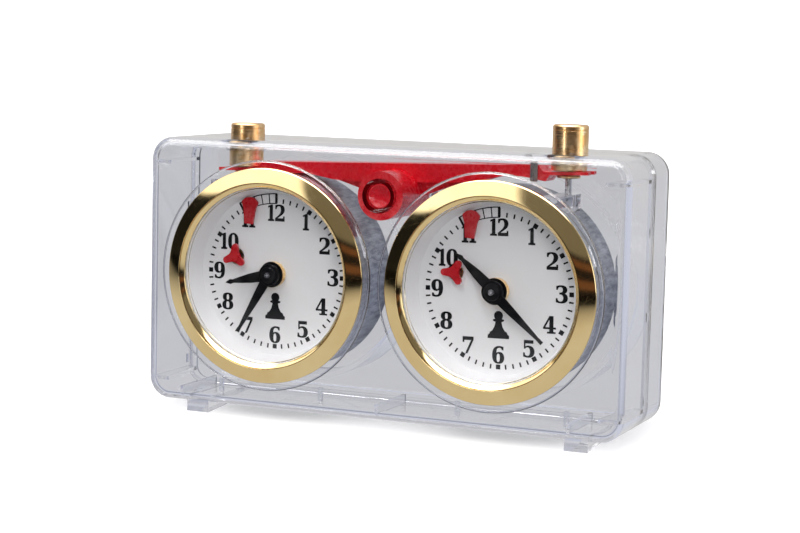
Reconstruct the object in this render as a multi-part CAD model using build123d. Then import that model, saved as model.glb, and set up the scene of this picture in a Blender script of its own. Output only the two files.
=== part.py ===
from build123d import *
import math
import os
from collections import namedtuple
from functools import reduce
from operator import add

# Mechanical chess clock: clear two-piece body, two wind-up movements in round
# cans, gold bezels, and a red rocker between two brass plungers.
#
# Working frame (mm): X to the right seen from the front, Y from the front face
# (0) to the back, Z up from the underside of the body (0). The clock leans back
# on wedge feet, so each piece is turned on saving, with the foot plane at Z = 0.

os.makedirs("parts", exist_ok=True)

# ---------------------------------------------------------------------------
# Driving dimensions
# ---------------------------------------------------------------------------
SIDES = {"left": -1, "right": 1}    # sign of X on each side

# body
BODY_W = 180.0
BODY_H = 95.3
BODY_D = 50.8
SPLIT_Y = 30.0          # joint between front shell and rear cover
WALL = 2.2
CORNER_R = 8.0
EDGE_R = 3.8
JOINT_INSET = WALL + 0.06           # outside of the cover's tongue
FLOOR_Z = WALL - 0.2                # inner features start slightly inside the wall
FRONT_Y = WALL - 0.2
SNAP_Z = (68.6, 39.9, 11.0)         # snap heights on each side wall

# lean and feet
LEAN = 3.55             # degrees the body leans back
FOOT_H = 3.6            # foot height at FOOT_Y
FOOT_Y = 2.0
FEET_X = [(-73.9, -65.2), (70.0, 78.3)]
LEAN_RAD = math.radians(LEAN)
REST_Z = FOOT_H * math.cos(LEAN_RAD) + FOOT_Y * math.sin(LEAN_RAD)
REST = Pos(0, -26.93, REST_Z) * Rot(-LEAN, 0, 0)

# dials, windows and cans
DIAL_X = 42.33          # dial centres, left and right of the middle
DIAL_Z = 47.83
STEP_R = 40.8           # raised ring on the front face round each bezel
STEP_H = 0.8
WINDOW_R = 33.5
BEZEL_R = 38.2
BEZEL_IN = 31.35
LENS_R = 32.6
CAN_R = 35.5
CAN_T = 0.6
CAN_Y0, CAN_Y1 = 2.25, 30.0
WELL_R = 41.5           # outside of the rear wells
WELL_T = 2.0
WELL_FLOOR_Y = SPLIT_Y + 1.6        # rear face of the well floor
DIAL_Y = 8.15           # front of the dial plate
DIAL_FLAT_R = 29.1

# plungers and rocker
PLUNGER_X = 61.8
PLUNGER_Y = 22.7
PLUNGER_R = 6.2
PLUNGER_TRAVEL = 4.2
ROD_R = 1.15
WIRE_R = 0.33
PIVOT_Z = 78.2
HUB_R = 8.5
BAR_HALF_W = 4.5
BAR_TOP = PIVOT_Z + 8.42
TILT = math.degrees(math.asin(PLUNGER_TRAVEL / 2 / PLUNGER_X))


def polar(radius, degrees):
    """Point at an angle measured from the first axis towards the second."""
    angle = math.radians(degrees)
    return radius * math.cos(angle), radius * math.sin(angle)


# movement layout, (x, z) from the dial centre
CENTRE = (0.0, 0.0)
INDICATOR = (-15.4, 5.45)           # escape wheel and going indicator
FLAG = (-9.7, 24.5)
THIRD = (-12.1993, -6.0115)
BARREL = (15.155, -8.75)
MINUTE = (4.2, -7.2746)
BALANCE = (0.0, 19.0)
PALLET = (-8.718, 11.329)
CLICK = (-9.6, 4.4)                 # click pivot, from the barrel axis
PILLARS = [polar(29.0, angle) for angle in (5, 175, -80, 230)]
SCREWS = [polar(31.5, angle) for angle in (90, 200, 340)]
PLATE_FEET = [polar(32.4, 35), polar(32.505, 180), polar(32.505, 300)]

# movement levels along Y
FRONT_PLATE = (12.6, 13.8)
BACK_PLATE = (25.0, 26.2)
ARBOR_Y = (13.95, 24.85)            # thick part of an arbor, between the plates
PIVOT_Y = (12.9, 25.9)              # thin ends running in the plates
RATCHET_Y = 26.4

PLATE_R = 33.4
# inner radius, outer radius, start angle, end angle
PLATE_OPENINGS = [(24.0, 40.0, 45, 80), (24.0, 40.0, 100, 135), (22.0, 30.0, 240, 268)]
# place, hole radius in the front plate, hole radius in the back plate
PIVOT_HOLES = [
    (CENTRE, 1.54, 1.54), (THIRD, 0.4, 0.4), (INDICATOR, 0.74, 0.34),
    (BARREL, 1.24, 2.04), (BALANCE, 0.34, 0.34), (PALLET, 0.34, 0.34),
]

# meshing pairs: wheel teeth, pinion teeth, module
Mesh = namedtuple("Mesh", "wheel pinion module")
GREAT_MESH = Mesh(60, 10, 0.5)      # barrel to centre pinion
CENTRE_MESH = Mesh(60, 8, 0.4)      # centre wheel to third pinion
THIRD_MESH = Mesh(60, 8, 0.35)      # third wheel to escape pinion
MINUTE_MESH = Mesh(36, 12, 0.35)    # minute wheel to the pinion on the centre arbor
HOUR_MESH = Mesh(40, 10, 0.336)     # hour wheel to minute pinion

# tooth form
PRESSURE_ANGLE = math.radians(20)
ADDENDUM = 0.8          # in modules
DEDENDUM = 1.1          # in modules
TOOTH_SHARE = 0.42      # tooth thickness over pitch, thinned for backlash
FLANK_STEPS = 5

SQUARE_HALF = 1.35      # half width of the winding square

# positions at rest, in degrees
HAND_ANGLES = {"left": (257.5, 210.0), "right": (311.0, 131.5)}   # hour, minute; clockwise
INDICATOR_TURN = {"left": 6.0, "right": 29.0}
KEY_TURN = {"left": 62, "right": -28}


# ---------------------------------------------------------------------------
# Drawing helpers
# ---------------------------------------------------------------------------
def prism(points, y0, y1, x=0.0, z=0.0):
    """Closed (x, z) outline carried along Y."""
    wire = Wire.make_polygon([Vector(x + a, y0, z + b) for a, b in points], close=True)
    return extrude(Face(wire), amount=y1 - y0, dir=(0, 1, 0))


def prism_z(points, z0, z1):
    """Closed (x, y) outline carried up."""
    wire = Wire.make_polygon([Vector(a, b, z0) for a, b in points], close=True)
    return extrude(Face(wire), amount=z1 - z0, dir=(0, 0, 1))


def prism_x(points, x0, x1):
    """Closed (y, z) outline carried along X."""
    wire = Wire.make_polygon([Vector(x0, a, b) for a, b in points], close=True)
    return extrude(Face(wire), amount=x1 - x0, dir=(1, 0, 0))


def upright(radius, length):
    """Cylinder standing on the origin."""
    return Cylinder(radius, length, align=(Align.CENTER, Align.CENTER, Align.MIN))


def rod(radius, y0, y1, x=0.0, z=0.0):
    """Cylinder along Y."""
    return Pos(x, y0, z) * Rot(-90, 0, 0) * upright(radius, y1 - y0)


def rod_z(radius, z0, z1, x=0.0, y=0.0):
    """Cylinder along Z."""
    return Pos(x, y, z0) * upright(radius, z1 - z0)


def tube(outer, inner, y0, y1, x=0.0, z=0.0):
    """Tube along Y."""
    return rod(outer, y0, y1, x, z) - rod(inner, y0 - 0.5, y1 + 0.5, x, z)


def lathe(profile, x=0.0, z=0.0):
    """Profile of (radius, y) points turned about a line along Y."""
    wire = Wire.make_polygon([Vector(r, y, 0) for r, y in profile], close=True)
    return Pos(x, 0, z) * revolve(Face(wire), Axis.Y, 360)


def lathe_z(profile, x=0.0, y=0.0):
    """Profile of (radius, z) points turned about a line along Z."""
    wire = Wire.make_polygon([Vector(r, 0, z) for r, z in profile], close=True)
    return Pos(x, y, 0) * revolve(Face(wire), Axis.Z, 360)


def box(x0, x1, y0, y1, z0, z1):
    """Box between two corners; the X limits may come in either order."""
    middle = Pos((x0 + x1) / 2, (y0 + y1) / 2, (z0 + z1) / 2)
    return middle * Box(abs(x1 - x0), y1 - y0, z1 - z0)


def body_block(inset, y0, y1):
    """Rounded block of the body's front outline, drawn in by inset."""
    plane = Plane(origin=(0, y0, BODY_H / 2), x_dir=(1, 0, 0), z_dir=(0, 1, 0))
    outline = RectangleRounded(BODY_W - 2 * inset, BODY_H - 2 * inset, CORNER_R - inset)
    return extrude(plane * outline, amount=y1 - y0)


def arc(radius, start, end, steps):
    """Points along an arc about the origin."""
    return [polar(radius, start + (end - start) * i / steps) for i in range(steps + 1)]


def turned(points, degrees):
    """Outline turned clockwise, seen from the front."""
    sine, cosine = math.sin(math.radians(degrees)), math.cos(math.radians(degrees))
    return [(x * cosine + z * sine, -x * sine + z * cosine) for x, z in points]


def mirrored(left_half):
    """Closed outline from its left half; a point on the middle line is kept once."""
    return left_half + [(-x, z) for x, z in left_half[::-1] if x != 0]


def bearing(start, end):
    """Direction from one point to another, degrees from X towards Z."""
    return math.degrees(math.atan2(end[1] - start[1], end[0] - start[0]))


def gear(teeth, module, y0, y1, phase=0.0):
    """Involute gear with the middle of a tooth at phase degrees."""
    pitch_r = teeth * module / 2
    base_r = pitch_r * math.cos(PRESSURE_ANGLE)
    tip_r = pitch_r + ADDENDUM * module
    root_r = pitch_r - DEDENDUM * module
    base_half = TOOTH_SHARE * math.pi / teeth + math.tan(PRESSURE_ANGLE) - PRESSURE_ANGLE

    def half_angle(radius):
        if radius <= base_r:
            return base_half
        roll = math.acos(base_r / radius)
        return base_half - (math.tan(roll) - roll)

    if base_r > root_r:
        steps = FLANK_STEPS - 1
        radii = [root_r] + [base_r + (tip_r - base_r) * i / steps for i in range(FLANK_STEPS)]
    else:
        radii = [root_r + (tip_r - root_r) * i / FLANK_STEPS for i in range(FLANK_STEPS + 1)]
    points = []
    for i in range(teeth):
        middle = phase + 360 * i / teeth
        points += [polar(r, middle - math.degrees(half_angle(r))) for r in radii]
        points += [polar(r, middle + math.degrees(half_angle(r))) for r in radii[::-1]]
    return prism(points, y0, y1)


def mesh_phase(teeth, place, other_teeth, other_place):
    """Phase that meshes the other gear with a first gear drawn at phase 0."""
    line = bearing(place, other_place)
    return line + 180 - (0.5 - line * teeth / 360) * 360 / other_teeth


def spokes(inner, outer, count, width, y0, y1, phase=0.0):
    """Openings between the arms of a wheel."""
    openings = []
    at_outer = math.degrees(math.asin(width / 2 / outer))
    at_inner = math.degrees(math.asin(width / 2 / inner))
    for i in range(count):
        start = phase + 360 * i / count
        end = start + 360 / count
        points = arc(outer, start + at_outer, end - at_outer, 8)
        points += arc(inner, end - at_inner, start + at_inner, 4)
        openings.append(prism(points, y0, y1))
    return reduce(add, openings)


def spiral(start_r, end_r, thickness, steps, y0, y1, turns=6.0):
    """Flat strip coiled about Y."""
    inside, outside = [], []
    for i in range(steps + 1):
        angle = 360 * turns * i / steps
        radius = start_r + (end_r - start_r) * i / steps
        inside.append(polar(radius, angle))
        outside.append(polar(radius + thickness, angle))
    return prism(inside + outside[::-1], y0, y1)


def save(name, *shapes, at=Location()):
    """Move the solids to at, then to the leaning rest position, and write the file."""
    placed = [REST * at * solid for shape in shapes for solid in shape.solids()]
    out = placed[0] if len(placed) == 1 else Compound(children=placed)
    export_step(out, "parts/" + name + ".step")


# ---------------------------------------------------------------------------
# Clear body
# ---------------------------------------------------------------------------
def foot(x0, x1, y0, y1):
    """Wedge rail under the body; its underside lies in the foot plane."""
    slope = math.tan(LEAN_RAD)
    z0 = -FOOT_H + slope * (y0 - FOOT_Y)
    z1 = -FOOT_H + slope * (y1 - FOOT_Y)
    return prism_x([(y0, z0), (y1, z1), (y1, 1.2), (y0, 1.2)], x0, x1)


def front_shell():
    rib_end = 27.5
    step_edge = 0.35
    shell = body_block(0, 0, SPLIT_Y)
    shell = fillet(shell.edges().group_by(Axis.Y)[0], EDGE_R)
    cavity = body_block(WALL, WALL, SPLIT_Y + 1)
    cavity = fillet(cavity.edges().group_by(Axis.Y)[0], EDGE_R - WALL)
    shell -= cavity
    # raised ring outside and can collar inside, round each window
    for side in SIDES.values():
        shell += lathe([(WINDOW_R - 1, 0.5), (WINDOW_R - 1, -STEP_H),
                        (STEP_R - step_edge, -STEP_H), (STEP_R, -STEP_H + step_edge),
                        (STEP_R, 0.5)], side * DIAL_X, DIAL_Z)
        shell += tube(CAN_R + 1.4, CAN_R + 0.1, FRONT_Y, 8.0, side * DIAL_X, DIAL_Z)
    # guide blocks for the plunger rods, standing on the cans
    for side in SIDES.values():
        block_x = side * 61.4
        block = box(block_x - 3.6, block_x + 3.6, FRONT_Y, 26.8, 72.0, 81.0)
        block -= rod(CAN_R + 0.1, 0, 40, side * DIAL_X, DIAL_Z)
        shell += block.solids().sort_by(Axis.Z)[-1]
    # hollow pivot for the rocker
    shell += rod(6.0, FRONT_Y, 27.4, 0, PIVOT_Z)
    shell -= rod(4.5, WALL + 0.6, 28, 0, PIVOT_Z)
    # gussets in the side walls
    for side in SIDES.values():
        for z in (86.3, 7.6):
            shell += prism_z([(side * 88.2, FRONT_Y), (side * 81.5, FRONT_Y),
                              (side * 84.0, rib_end), (side * 88.2, rib_end)],
                             z - 0.6, z + 0.6)
    # rails and small posts on the floor
    for x in (-76.0, 1.0, 71.2):
        shell += box(x - 0.6, x + 0.6, FRONT_Y, rib_end, FLOOR_Z, 5.4)
    for x in (-66.5, -26.5, 26.5, 66.5):
        shell += rod_z(0.9, FLOOR_Z, 7.2, x, 15.0)
    # collars that guide the brass plungers, cut off short of the joint
    for side in SIDES.values():
        x = side * PLUNGER_X
        collar = rod_z(7.6, 90.4, BODY_H - 1.0, x, PLUNGER_Y)
        shell += collar & box(x - 9, x + 9, 10, SPLIT_Y - 0.1, 90, BODY_H)
    for x0, x1 in FEET_X:
        shell += foot(x0, x1, 1.6, SPLIT_Y)
    for side in SIDES.values():
        shell -= rod(WINDOW_R, -3, WALL + 0.5, side * DIAL_X, DIAL_Z)
    # plunger and rod bores, and snap windows near the joint
    for side in SIDES.values():
        shell -= rod_z(PLUNGER_R + 0.1, 88, 97, side * PLUNGER_X, PLUNGER_Y)
        shell -= rod_z(ROD_R + 0.1, 70, 82, side * PLUNGER_X, PLUNGER_Y)
        for z in SNAP_Z:
            shell -= box(side * (BODY_W / 2 - WALL - 0.4), side * (BODY_W / 2 - 0.9),
                         SPLIT_Y - 2.9, SPLIT_Y - 1.4, z - 1.6, z + 1.6)
    return shell


def rear_cover():
    cover = body_block(0, SPLIT_Y, BODY_D)
    cover = fillet(cover.edges().group_by(Axis.Y)[-1], EDGE_R)
    hollow = body_block(WALL, SPLIT_Y - 1, BODY_D - WALL)
    hollow = fillet(hollow.edges().group_by(Axis.Y)[-1], EDGE_R - WALL)
    cover -= hollow
    # tongue inside the front shell, and the band joining it to the wall
    tongue = body_block(JOINT_INSET, SPLIT_Y - 2.0, SPLIT_Y + 3.0)
    tongue -= body_block(JOINT_INSET + 1.1, SPLIT_Y - 3.0, SPLIT_Y + 4.0)
    band = body_block(WALL - 0.3, SPLIT_Y + 0.02, SPLIT_Y + 3.0)
    band -= body_block(JOINT_INSET + 0.5, SPLIT_Y - 1.0, SPLIT_Y + 4.0)
    cover += tongue
    cover += band
    # the tongue is relieved round the plunger collars
    for side in SIDES.values():
        x = side * PLUNGER_X
        cover -= box(x - 8.2, x + 8.2, SPLIT_Y - 3, SPLIT_Y, 89, BODY_H - WALL)
    # wells: collars open to the back, with a floor behind each can
    for side in SIDES.values():
        x = side * DIAL_X
        cover += tube(WELL_R, WELL_R - WELL_T, SPLIT_Y, BODY_D - 0.5, x, DIAL_Z)
        cover += rod(WELL_R - 0.5, SPLIT_Y, WELL_FLOOR_Y, x, DIAL_Z)
    for side in SIDES.values():
        x = side * DIAL_X
        cover -= rod(WELL_R - WELL_T, WELL_FLOOR_Y, BODY_D + 1, x, DIAL_Z)
        # openings for the setting arbor, the winding arbor and the fixing screws
        holes = [(CENTRE, 3.2), (BARREL, 3.6)] + [(place, 1.3) for place in SCREWS]
        for (dx, dz), radius in holes:
            cover -= rod(radius, SPLIT_Y - 1, SPLIT_Y + 3, x + dx, DIAL_Z + dz)
    # post that keeps the rocker on its pivot
    cover += rod(3.6, 29.0, BODY_D - 1, 0, PIVOT_Z)
    # snap wedges on the tongue
    x_in, x_out = BODY_W / 2 - JOINT_INSET - 0.6, BODY_W / 2 - 1.3
    for side in SIDES.values():
        for z in SNAP_Z:
            cover += prism_z([(side * x_in, SPLIT_Y - 2.0), (side * (x_out - 0.5), SPLIT_Y - 2.0),
                              (side * x_out, SPLIT_Y - 1.75), (side * x_out, SPLIT_Y - 1.55),
                              (side * x_in, SPLIT_Y - 1.5)], z - 1.4, z + 1.4)
    for x0, x1 in FEET_X:
        cover += foot(x0, x1, SPLIT_Y + 0.05, BODY_D - 3.0)
    return cover


def movement_screw(x, z):
    """Cross-slotted screw seated on the well floor."""
    seat = WELL_FLOOR_Y
    screw = rod(1.2, 28.2, seat + 0.05, x, z)
    screw += lathe([(0, seat), (2.6, seat), (2.6, seat + 0.8), (1.9, seat + 1.5),
                    (0, seat + 1.6)], x, z)
    for half_x, half_z in ((3, 0.3), (0.3, 1.6)):
        screw -= box(x - half_x, x + half_x, seat + 0.9, seat + 2.4, z - half_z, z + half_z)
    return screw


# ---------------------------------------------------------------------------
# Rocker, plungers and brake wires
# ---------------------------------------------------------------------------
# bar outline: x, height above BAR_TOP
BAR_OUTLINE = [
    (-70.5, 0), (-54.6, 0), (-52.6, 2.2), (52.6, 2.2), (54.6, 0), (70.5, 0),
    (70.5, -1.1), (56.8, -1.1), (55.2, -3.3), (52.6, -2.85), (49.5, -2.15), (46.5, -1.7),
    (39.5, -1.7), (35.5, -2.5), (30.5, -3.9), (16.0, -4.4), (-16.0, -4.4),
    (-24.0, -3.9), (-35.0, -1.75), (-54.0, -1.75), (-56.5, -1.1), (-70.5, -1.1),
]


def rocker():
    """Rocker drawn level."""
    y0, y1 = PLUNGER_Y - BAR_HALF_W, PLUNGER_Y + BAR_HALF_W
    rib = 1.6
    bar = prism(BAR_OUTLINE, y0, y1, z=BAR_TOP)
    # channels between the middle and the forks, open below, with a rib on each side
    for side in (1, -1):
        bar -= box(side * 10.5, side * 51.0, y0 + rib, y1 - rib, BAR_TOP - 6, BAR_TOP + 1.05)
    body = rod(HUB_R, 4.0, 28.6, 0, PIVOT_Z) + bar
    for side in (1, -1):
        body += prism([(side * 4.0, PIVOT_Z - 4.0), (side * 8.3, PIVOT_Z - 1.0),
                       (side * 24.0, BAR_TOP - 4.2), (side * 30.0, BAR_TOP - 1.5),
                       (side * 2.0, BAR_TOP - 1.5)], PLUNGER_Y - 0.9, PLUNGER_Y + 0.9)
    body -= rod(6.06, 0, 27.5, 0, PIVOT_Z)
    # core inside the clear pivot tube, its front end dished
    core_y, dish_r = 3.6, 6.6
    body += rod(4.2, core_y, 27.8, 0, PIVOT_Z)
    body -= Pos(0, core_y - 5.4, PIVOT_Z) * Sphere(dish_r)
    # fork slots round the plunger necks
    for side in SIDES.values():
        body -= box(side * 59.6, side * 72, PLUNGER_Y - 1.8, PLUNGER_Y + 1.8,
                    BAR_TOP - 3, BAR_TOP + 1)
    return body


def rocker_leaf_spring():
    """Leaf that steadies the rocker, hung from the top wall."""
    x0, x1 = 49.8, 52.4
    top = BODY_H - WALL
    leaf = box(x0, x1, 12.0, 17.6, top - 0.45, top) + box(x0, x1, 17.2, 17.6, 85.0, top)
    return leaf + rod(0.45, 17.2, 17.95, (x0 + x1) / 2, 85.8)


def plunger(side):
    """Plunger with neck, flange and rod in one turned stack, at its raised height."""
    x = side * PLUNGER_X
    top = BODY_H + 9.3
    bottom = top - 15.6
    groove_r = PLUNGER_R - 0.12
    body = lathe_z([(0, bottom), (PLUNGER_R - 0.4, bottom), (PLUNGER_R, bottom + 0.4),
                    (PLUNGER_R, top - 2.0), (groove_r, top - 1.9), (groove_r, top - 1.7),
                    (PLUNGER_R, top - 1.6), (PLUNGER_R, top - 0.5), (PLUNGER_R - 0.5, top),
                    (0, top)], x, PLUNGER_Y)
    neck = rod_z(1.65, bottom - 1.8, bottom + 0.1, x, PLUNGER_Y)
    flange = lathe_z([(0, bottom - 1.65), (3.85, bottom - 1.65), (4.05, bottom - 1.85),
                      (4.05, bottom - 2.35), (3.85, bottom - 2.55), (0, bottom - 2.55)],
                     x, PLUNGER_Y)
    return body + neck + flange + rod_z(ROD_R, DIAL_Z + 28.55, bottom - 2.0, x, PLUNGER_Y)


def brake_wire(side):
    """Bent wire from the rod's foot to the balance rim, at the raised height."""
    z = DIAL_Z + 28.1
    tip_y = 20.9
    rod_x = side * PLUNGER_X
    bend_x = side * (DIAL_X + 9.6)
    tip_x = side * (DIAL_X + 7.4)

    def straight(x0, x1, y):
        return Pos(x0, y, z) * Rot(0, side * 90, 0) * upright(WIRE_R, abs(x1 - x0))

    eye = rod_z(1.0, z - 0.45, z + 0.45, rod_x, PLUNGER_Y)
    run = straight(bend_x, rod_x, PLUNGER_Y)
    step = rod(WIRE_R, 20.7, PLUNGER_Y, bend_x, z)
    tip = straight(tip_x, bend_x, tip_y)
    bends = Pos(bend_x, PLUNGER_Y, z) * Sphere(WIRE_R) + Pos(bend_x, tip_y, z) * Sphere(WIRE_R)
    return eye + run + step + tip + bends


# ---------------------------------------------------------------------------
# Bezel, lens, dial and can, drawn about the dial centre
# ---------------------------------------------------------------------------
def bezel():
    """Seat on the raised step, rounded crown, fine groove, inner bevel, skirt."""
    # radius, y
    profile = [(BEZEL_R, -STEP_H), (BEZEL_R, -1.05), (38.12, -1.3), (37.92, -1.5), (37.6, -1.66)]
    radius, y = profile[-1]
    radius_step = 0.418
    for i in range(11):
        radius -= radius_step
        y -= radius_step * math.tan(math.radians(25.5 - 0.75 * i))
        profile.append((round(radius, 3), round(y, 3)))
    skirt_in, skirt_out, skirt_y = LENS_R + 0.03, WINDOW_R - 0.05, 2.2
    profile += [(32.94, -3.44), (32.88, -3.12), (32.84, -2.97), (32.76, -2.97), (32.64, -3.14),
                (31.44, -2.12), (BEZEL_IN, -1.96), (BEZEL_IN, -1.2), (skirt_in, -1.2),
                (skirt_in, skirt_y), (skirt_out, skirt_y), (skirt_out, -STEP_H)]
    return lathe(profile)


def lens():
    return lathe([(0, -1.2), (LENS_R, -1.2), (LENS_R, 0.95), (31.1, 0.95), (30.75, 0.3), (0, 0.3)])


def dial():
    """Dial plate with its sloping surround."""
    rim_r = CAN_R - CAN_T - 0.05
    back = DIAL_Y + 0.8
    plate = lathe([(0, DIAL_Y), (DIAL_FLAT_R, DIAL_Y), (31.6, 1.0), (32.4, 1.0), (32.4, 3.0),
                   (rim_r, 3.4), (rim_r, 4.4), (32.4, 4.4), (30.3, back), (0, back)])
    for place, radius in ((CENTRE, 3.2), (INDICATOR, 3.0), (FLAG, 0.75)):
        plate -= rod(radius, 5, 12, *place)
    return plate


def can(side):
    body = tube(CAN_R, CAN_R - CAN_T, CAN_Y0, CAN_Y1) + rod(CAN_R, CAN_Y1 - CAN_T, CAN_Y1)
    body += tube(CAN_R, CAN_R - 2.2, 9.6, 10.2)     # ledge behind the dial
    body -= rod(2.4, 28, 31)
    body -= rod(3.0, 28, 31, *BARREL)
    for place in SCREWS:
        body += rod(2.0, 28.0, CAN_Y1 - 0.1, *place)
        body -= rod(1.2, 27, 31, *place)
    # hole for the plunger rod
    body -= rod_z(1.5, 24, 40, side * (PLUNGER_X - DIAL_X), PLUNGER_Y)
    return body


# ---------------------------------------------------------------------------
# Plates, drawn about the dial centre
# ---------------------------------------------------------------------------
def blank_plate(y0, y1):
    plate = rod(PLATE_R, y0, y1)
    for inner, outer, start, end in PLATE_OPENINGS:
        plate -= prism(arc(inner, start, end, 6) + arc(outer, end, start, 6), y0 - 1, y1 + 1)
    plate -= rod(2.6, y0 - 1, y1 + 1, 4.0, -17.5)
    return plate


def front_plate():
    """Front plate with its riveted pillars, minute wheel stud and feet."""
    y0, y1 = FRONT_PLATE
    plate = blank_plate(y0, y1)
    for place in PILLARS:
        plate += rod(1.7, y1 - 0.2, BACK_PLATE[0], *place)
        plate += rod(1.0, BACK_PLATE[0] - 0.2, BACK_PLATE[1] + 1.1, *place)
    for place, radius, _ in PIVOT_HOLES:
        plate -= rod(radius, y0 - 1, y1 + 1, *place)
    plate += rod(0.6, 8.95, y0 + 0.3, *MINUTE)
    # feet standing on the can's ledge
    for place in PLATE_FEET:
        plate += rod(0.9, 10.2, y0 + 0.1, *place)
    return plate


def back_plate():
    """Back plate with the stud of the click."""
    y0, y1 = BACK_PLATE
    plate = blank_plate(y0, y1)
    for place in PILLARS:
        plate -= rod(1.05, y0 - 1, y1 + 1, *place)
    for place, _, radius in PIVOT_HOLES:
        plate -= rod(radius, y0 - 1, y1 + 1, *place)
    plate += rod(0.7, y1 - 0.2, y1 + 1.5, BARREL[0] + CLICK[0], BARREL[1] + CLICK[1])
    return plate


def plate_nut(x, z):
    """Hexagonal nut on a pillar end, behind the back plate."""
    y = BACK_PLATE[1]
    nut = prism([polar(1.95, 60 * i) for i in range(6)], y + 0.02, y + 1.0, x, z)
    return nut - rod(1.03, y - 1.2, y + 2, x, z)


# ---------------------------------------------------------------------------
# Going train and winding work, each piece drawn about its own axis
# ---------------------------------------------------------------------------
def third_wheel():
    wheel = gear(THIRD_MESH.wheel, THIRD_MESH.module, 19.0, 19.8)
    wheel -= spokes(3.0, 8.6, 4, 1.4, 18, 21)
    wheel += gear(CENTRE_MESH.pinion, CENTRE_MESH.module, ARBOR_Y[0], 15.7)
    wheel += rod(0.75, *ARBOR_Y) + rod(0.36, *PIVOT_Y)
    return wheel


def centre_wheel():
    phase = mesh_phase(CENTRE_MESH.pinion, THIRD, CENTRE_MESH.wheel, CENTRE)
    wheel = gear(CENTRE_MESH.wheel, CENTRE_MESH.module, 14.4, 15.2, phase)
    wheel -= spokes(3.6, 10.2, 4, 1.7, 14, 16, phase=20)
    wheel += rod(2.3, 14.4, 22.3) + gear(GREAT_MESH.pinion, GREAT_MESH.module, 22.2, 24.3)
    wheel -= rod(1.55, 13, 26)
    return wheel


def mainspring_barrel():
    phase = mesh_phase(GREAT_MESH.pinion, CENTRE, GREAT_MESH.wheel, BARREL)
    barrel = gear(GREAT_MESH.wheel, GREAT_MESH.module, 22.8, 23.8, phase)
    barrel += rod(13.2, 15.9, 23.0)
    barrel -= rod(12.6, 16.7, 22.2)
    barrel -= rod(2.06, 10, 30)
    return barrel


def mainspring():
    return spiral(start_r=2.15, end_r=12.0, thickness=0.45, steps=120, y0=17.0, y1=21.9)


def barrel_arbor():
    """Arbor with ratchet wheel and a square for the key."""
    arbor = rod(1.2, 12.8, 15.0) + rod(2.0, 15.0, 26.3)
    count = 20
    teeth = []
    for i in range(count):
        teeth += [polar(5.1, 360 * i / count), polar(6.0, 360 * (i + 0.12) / count)]
    arbor += prism(teeth, RATCHET_Y, RATCHET_Y + 1.0)
    arbor += rod(2.0, 26.2, 31.0)
    arbor += box(-SQUARE_HALF, SQUARE_HALF, 31.0, 37.0, -SQUARE_HALF, SQUARE_HALF)
    return arbor


def winding_key():
    """Key with two pierced, rounded wings."""
    wing_y = 42.2
    key = lathe([(0, 32.6), (2.9, 32.6), (3.1, 32.8), (3.1, 38.6), (2.8, 39.0), (0, 39.0)])
    plane = Plane(origin=(0, wing_y, 0), x_dir=(1, 0, 0), z_dir=(0, 0, 1))
    blade = extrude(plane * SlotOverall(21.0, 8.4), amount=0.8, both=True)
    for x in (6.4, -6.4):
        blade -= rod_z(2.0, -3, 3, x, wing_y)
    key += blade
    key -= box(-SQUARE_HALF, SQUARE_HALF, 32.0, 37.2, -SQUARE_HALF, SQUARE_HALF)
    return key


def click():
    """Click, its nose just outside the circle of the ratchet's tooth tips."""
    y0, y1 = RATCHET_Y + 0.05, RATCHET_Y + 0.95
    x, z = CLICK
    nose_x, nose_z = polar(6.1, 110)
    body = prism([(x - 0.2, z + 1.5), (x + 1.2, z - 1.0), (x + 2.6, z + 0.3),
                  (nose_x, nose_z), (nose_x - 0.2, nose_z + 1.3)], y0, y1)
    body += rod(1.6, y0, y1, x, z)
    body -= rod(0.75, 26, 28, x, z)
    return body


# ---------------------------------------------------------------------------
# Escapement, each piece drawn about its own axis
# ---------------------------------------------------------------------------
# one escape tooth: radius, angle in radians from the tooth's place
ESCAPE_TOOTH = [(4.9, -0.14), (6.0, 0.02), (6.0, 0.07), (4.9, 0.12)]


def escape_wheel():
    """Escape wheel, pinion and the long front pivot that carries the indicator."""
    count = 15
    teeth = [polar(radius, 360 * i / count + math.degrees(offset))
             for i in range(count) for radius, offset in ESCAPE_TOOTH]
    wheel = prism(teeth, 16.5, 17.2) - spokes(1.7, 4.1, 3, 0.8, 16, 18)
    phase = mesh_phase(THIRD_MESH.wheel, THIRD, THIRD_MESH.pinion, INDICATOR)
    wheel += gear(THIRD_MESH.pinion, THIRD_MESH.module, 18.3, 20.5, phase)
    wheel += rod(0.7, 7.0, 18.4) + rod(0.6, 20.4, ARBOR_Y[1]) + rod(0.3, 24.8, PIVOT_Y[1])
    return wheel


def going_indicator(turn):
    """Three-lobed indicator, turned clockwise."""
    y0, y1 = 5.9, 6.9
    arm = [(-1.9, 0), (1.9, 0), (1.45, 1.7), (1.18, 3.4), (-1.18, 3.4), (-1.45, 1.7)]
    lobes = []
    for i in range(3):
        angle = turn + 120 * i
        lobes += [rod(1.2, y0, y1, *polar(3.4, 90 - angle)), prism(turned(arm, angle), y0, y1)]
    star = reduce(add, lobes) + rod(1.9, 5.6, 7.6)
    star -= rod(0.7, 7.0, 8.0)
    return star


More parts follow.
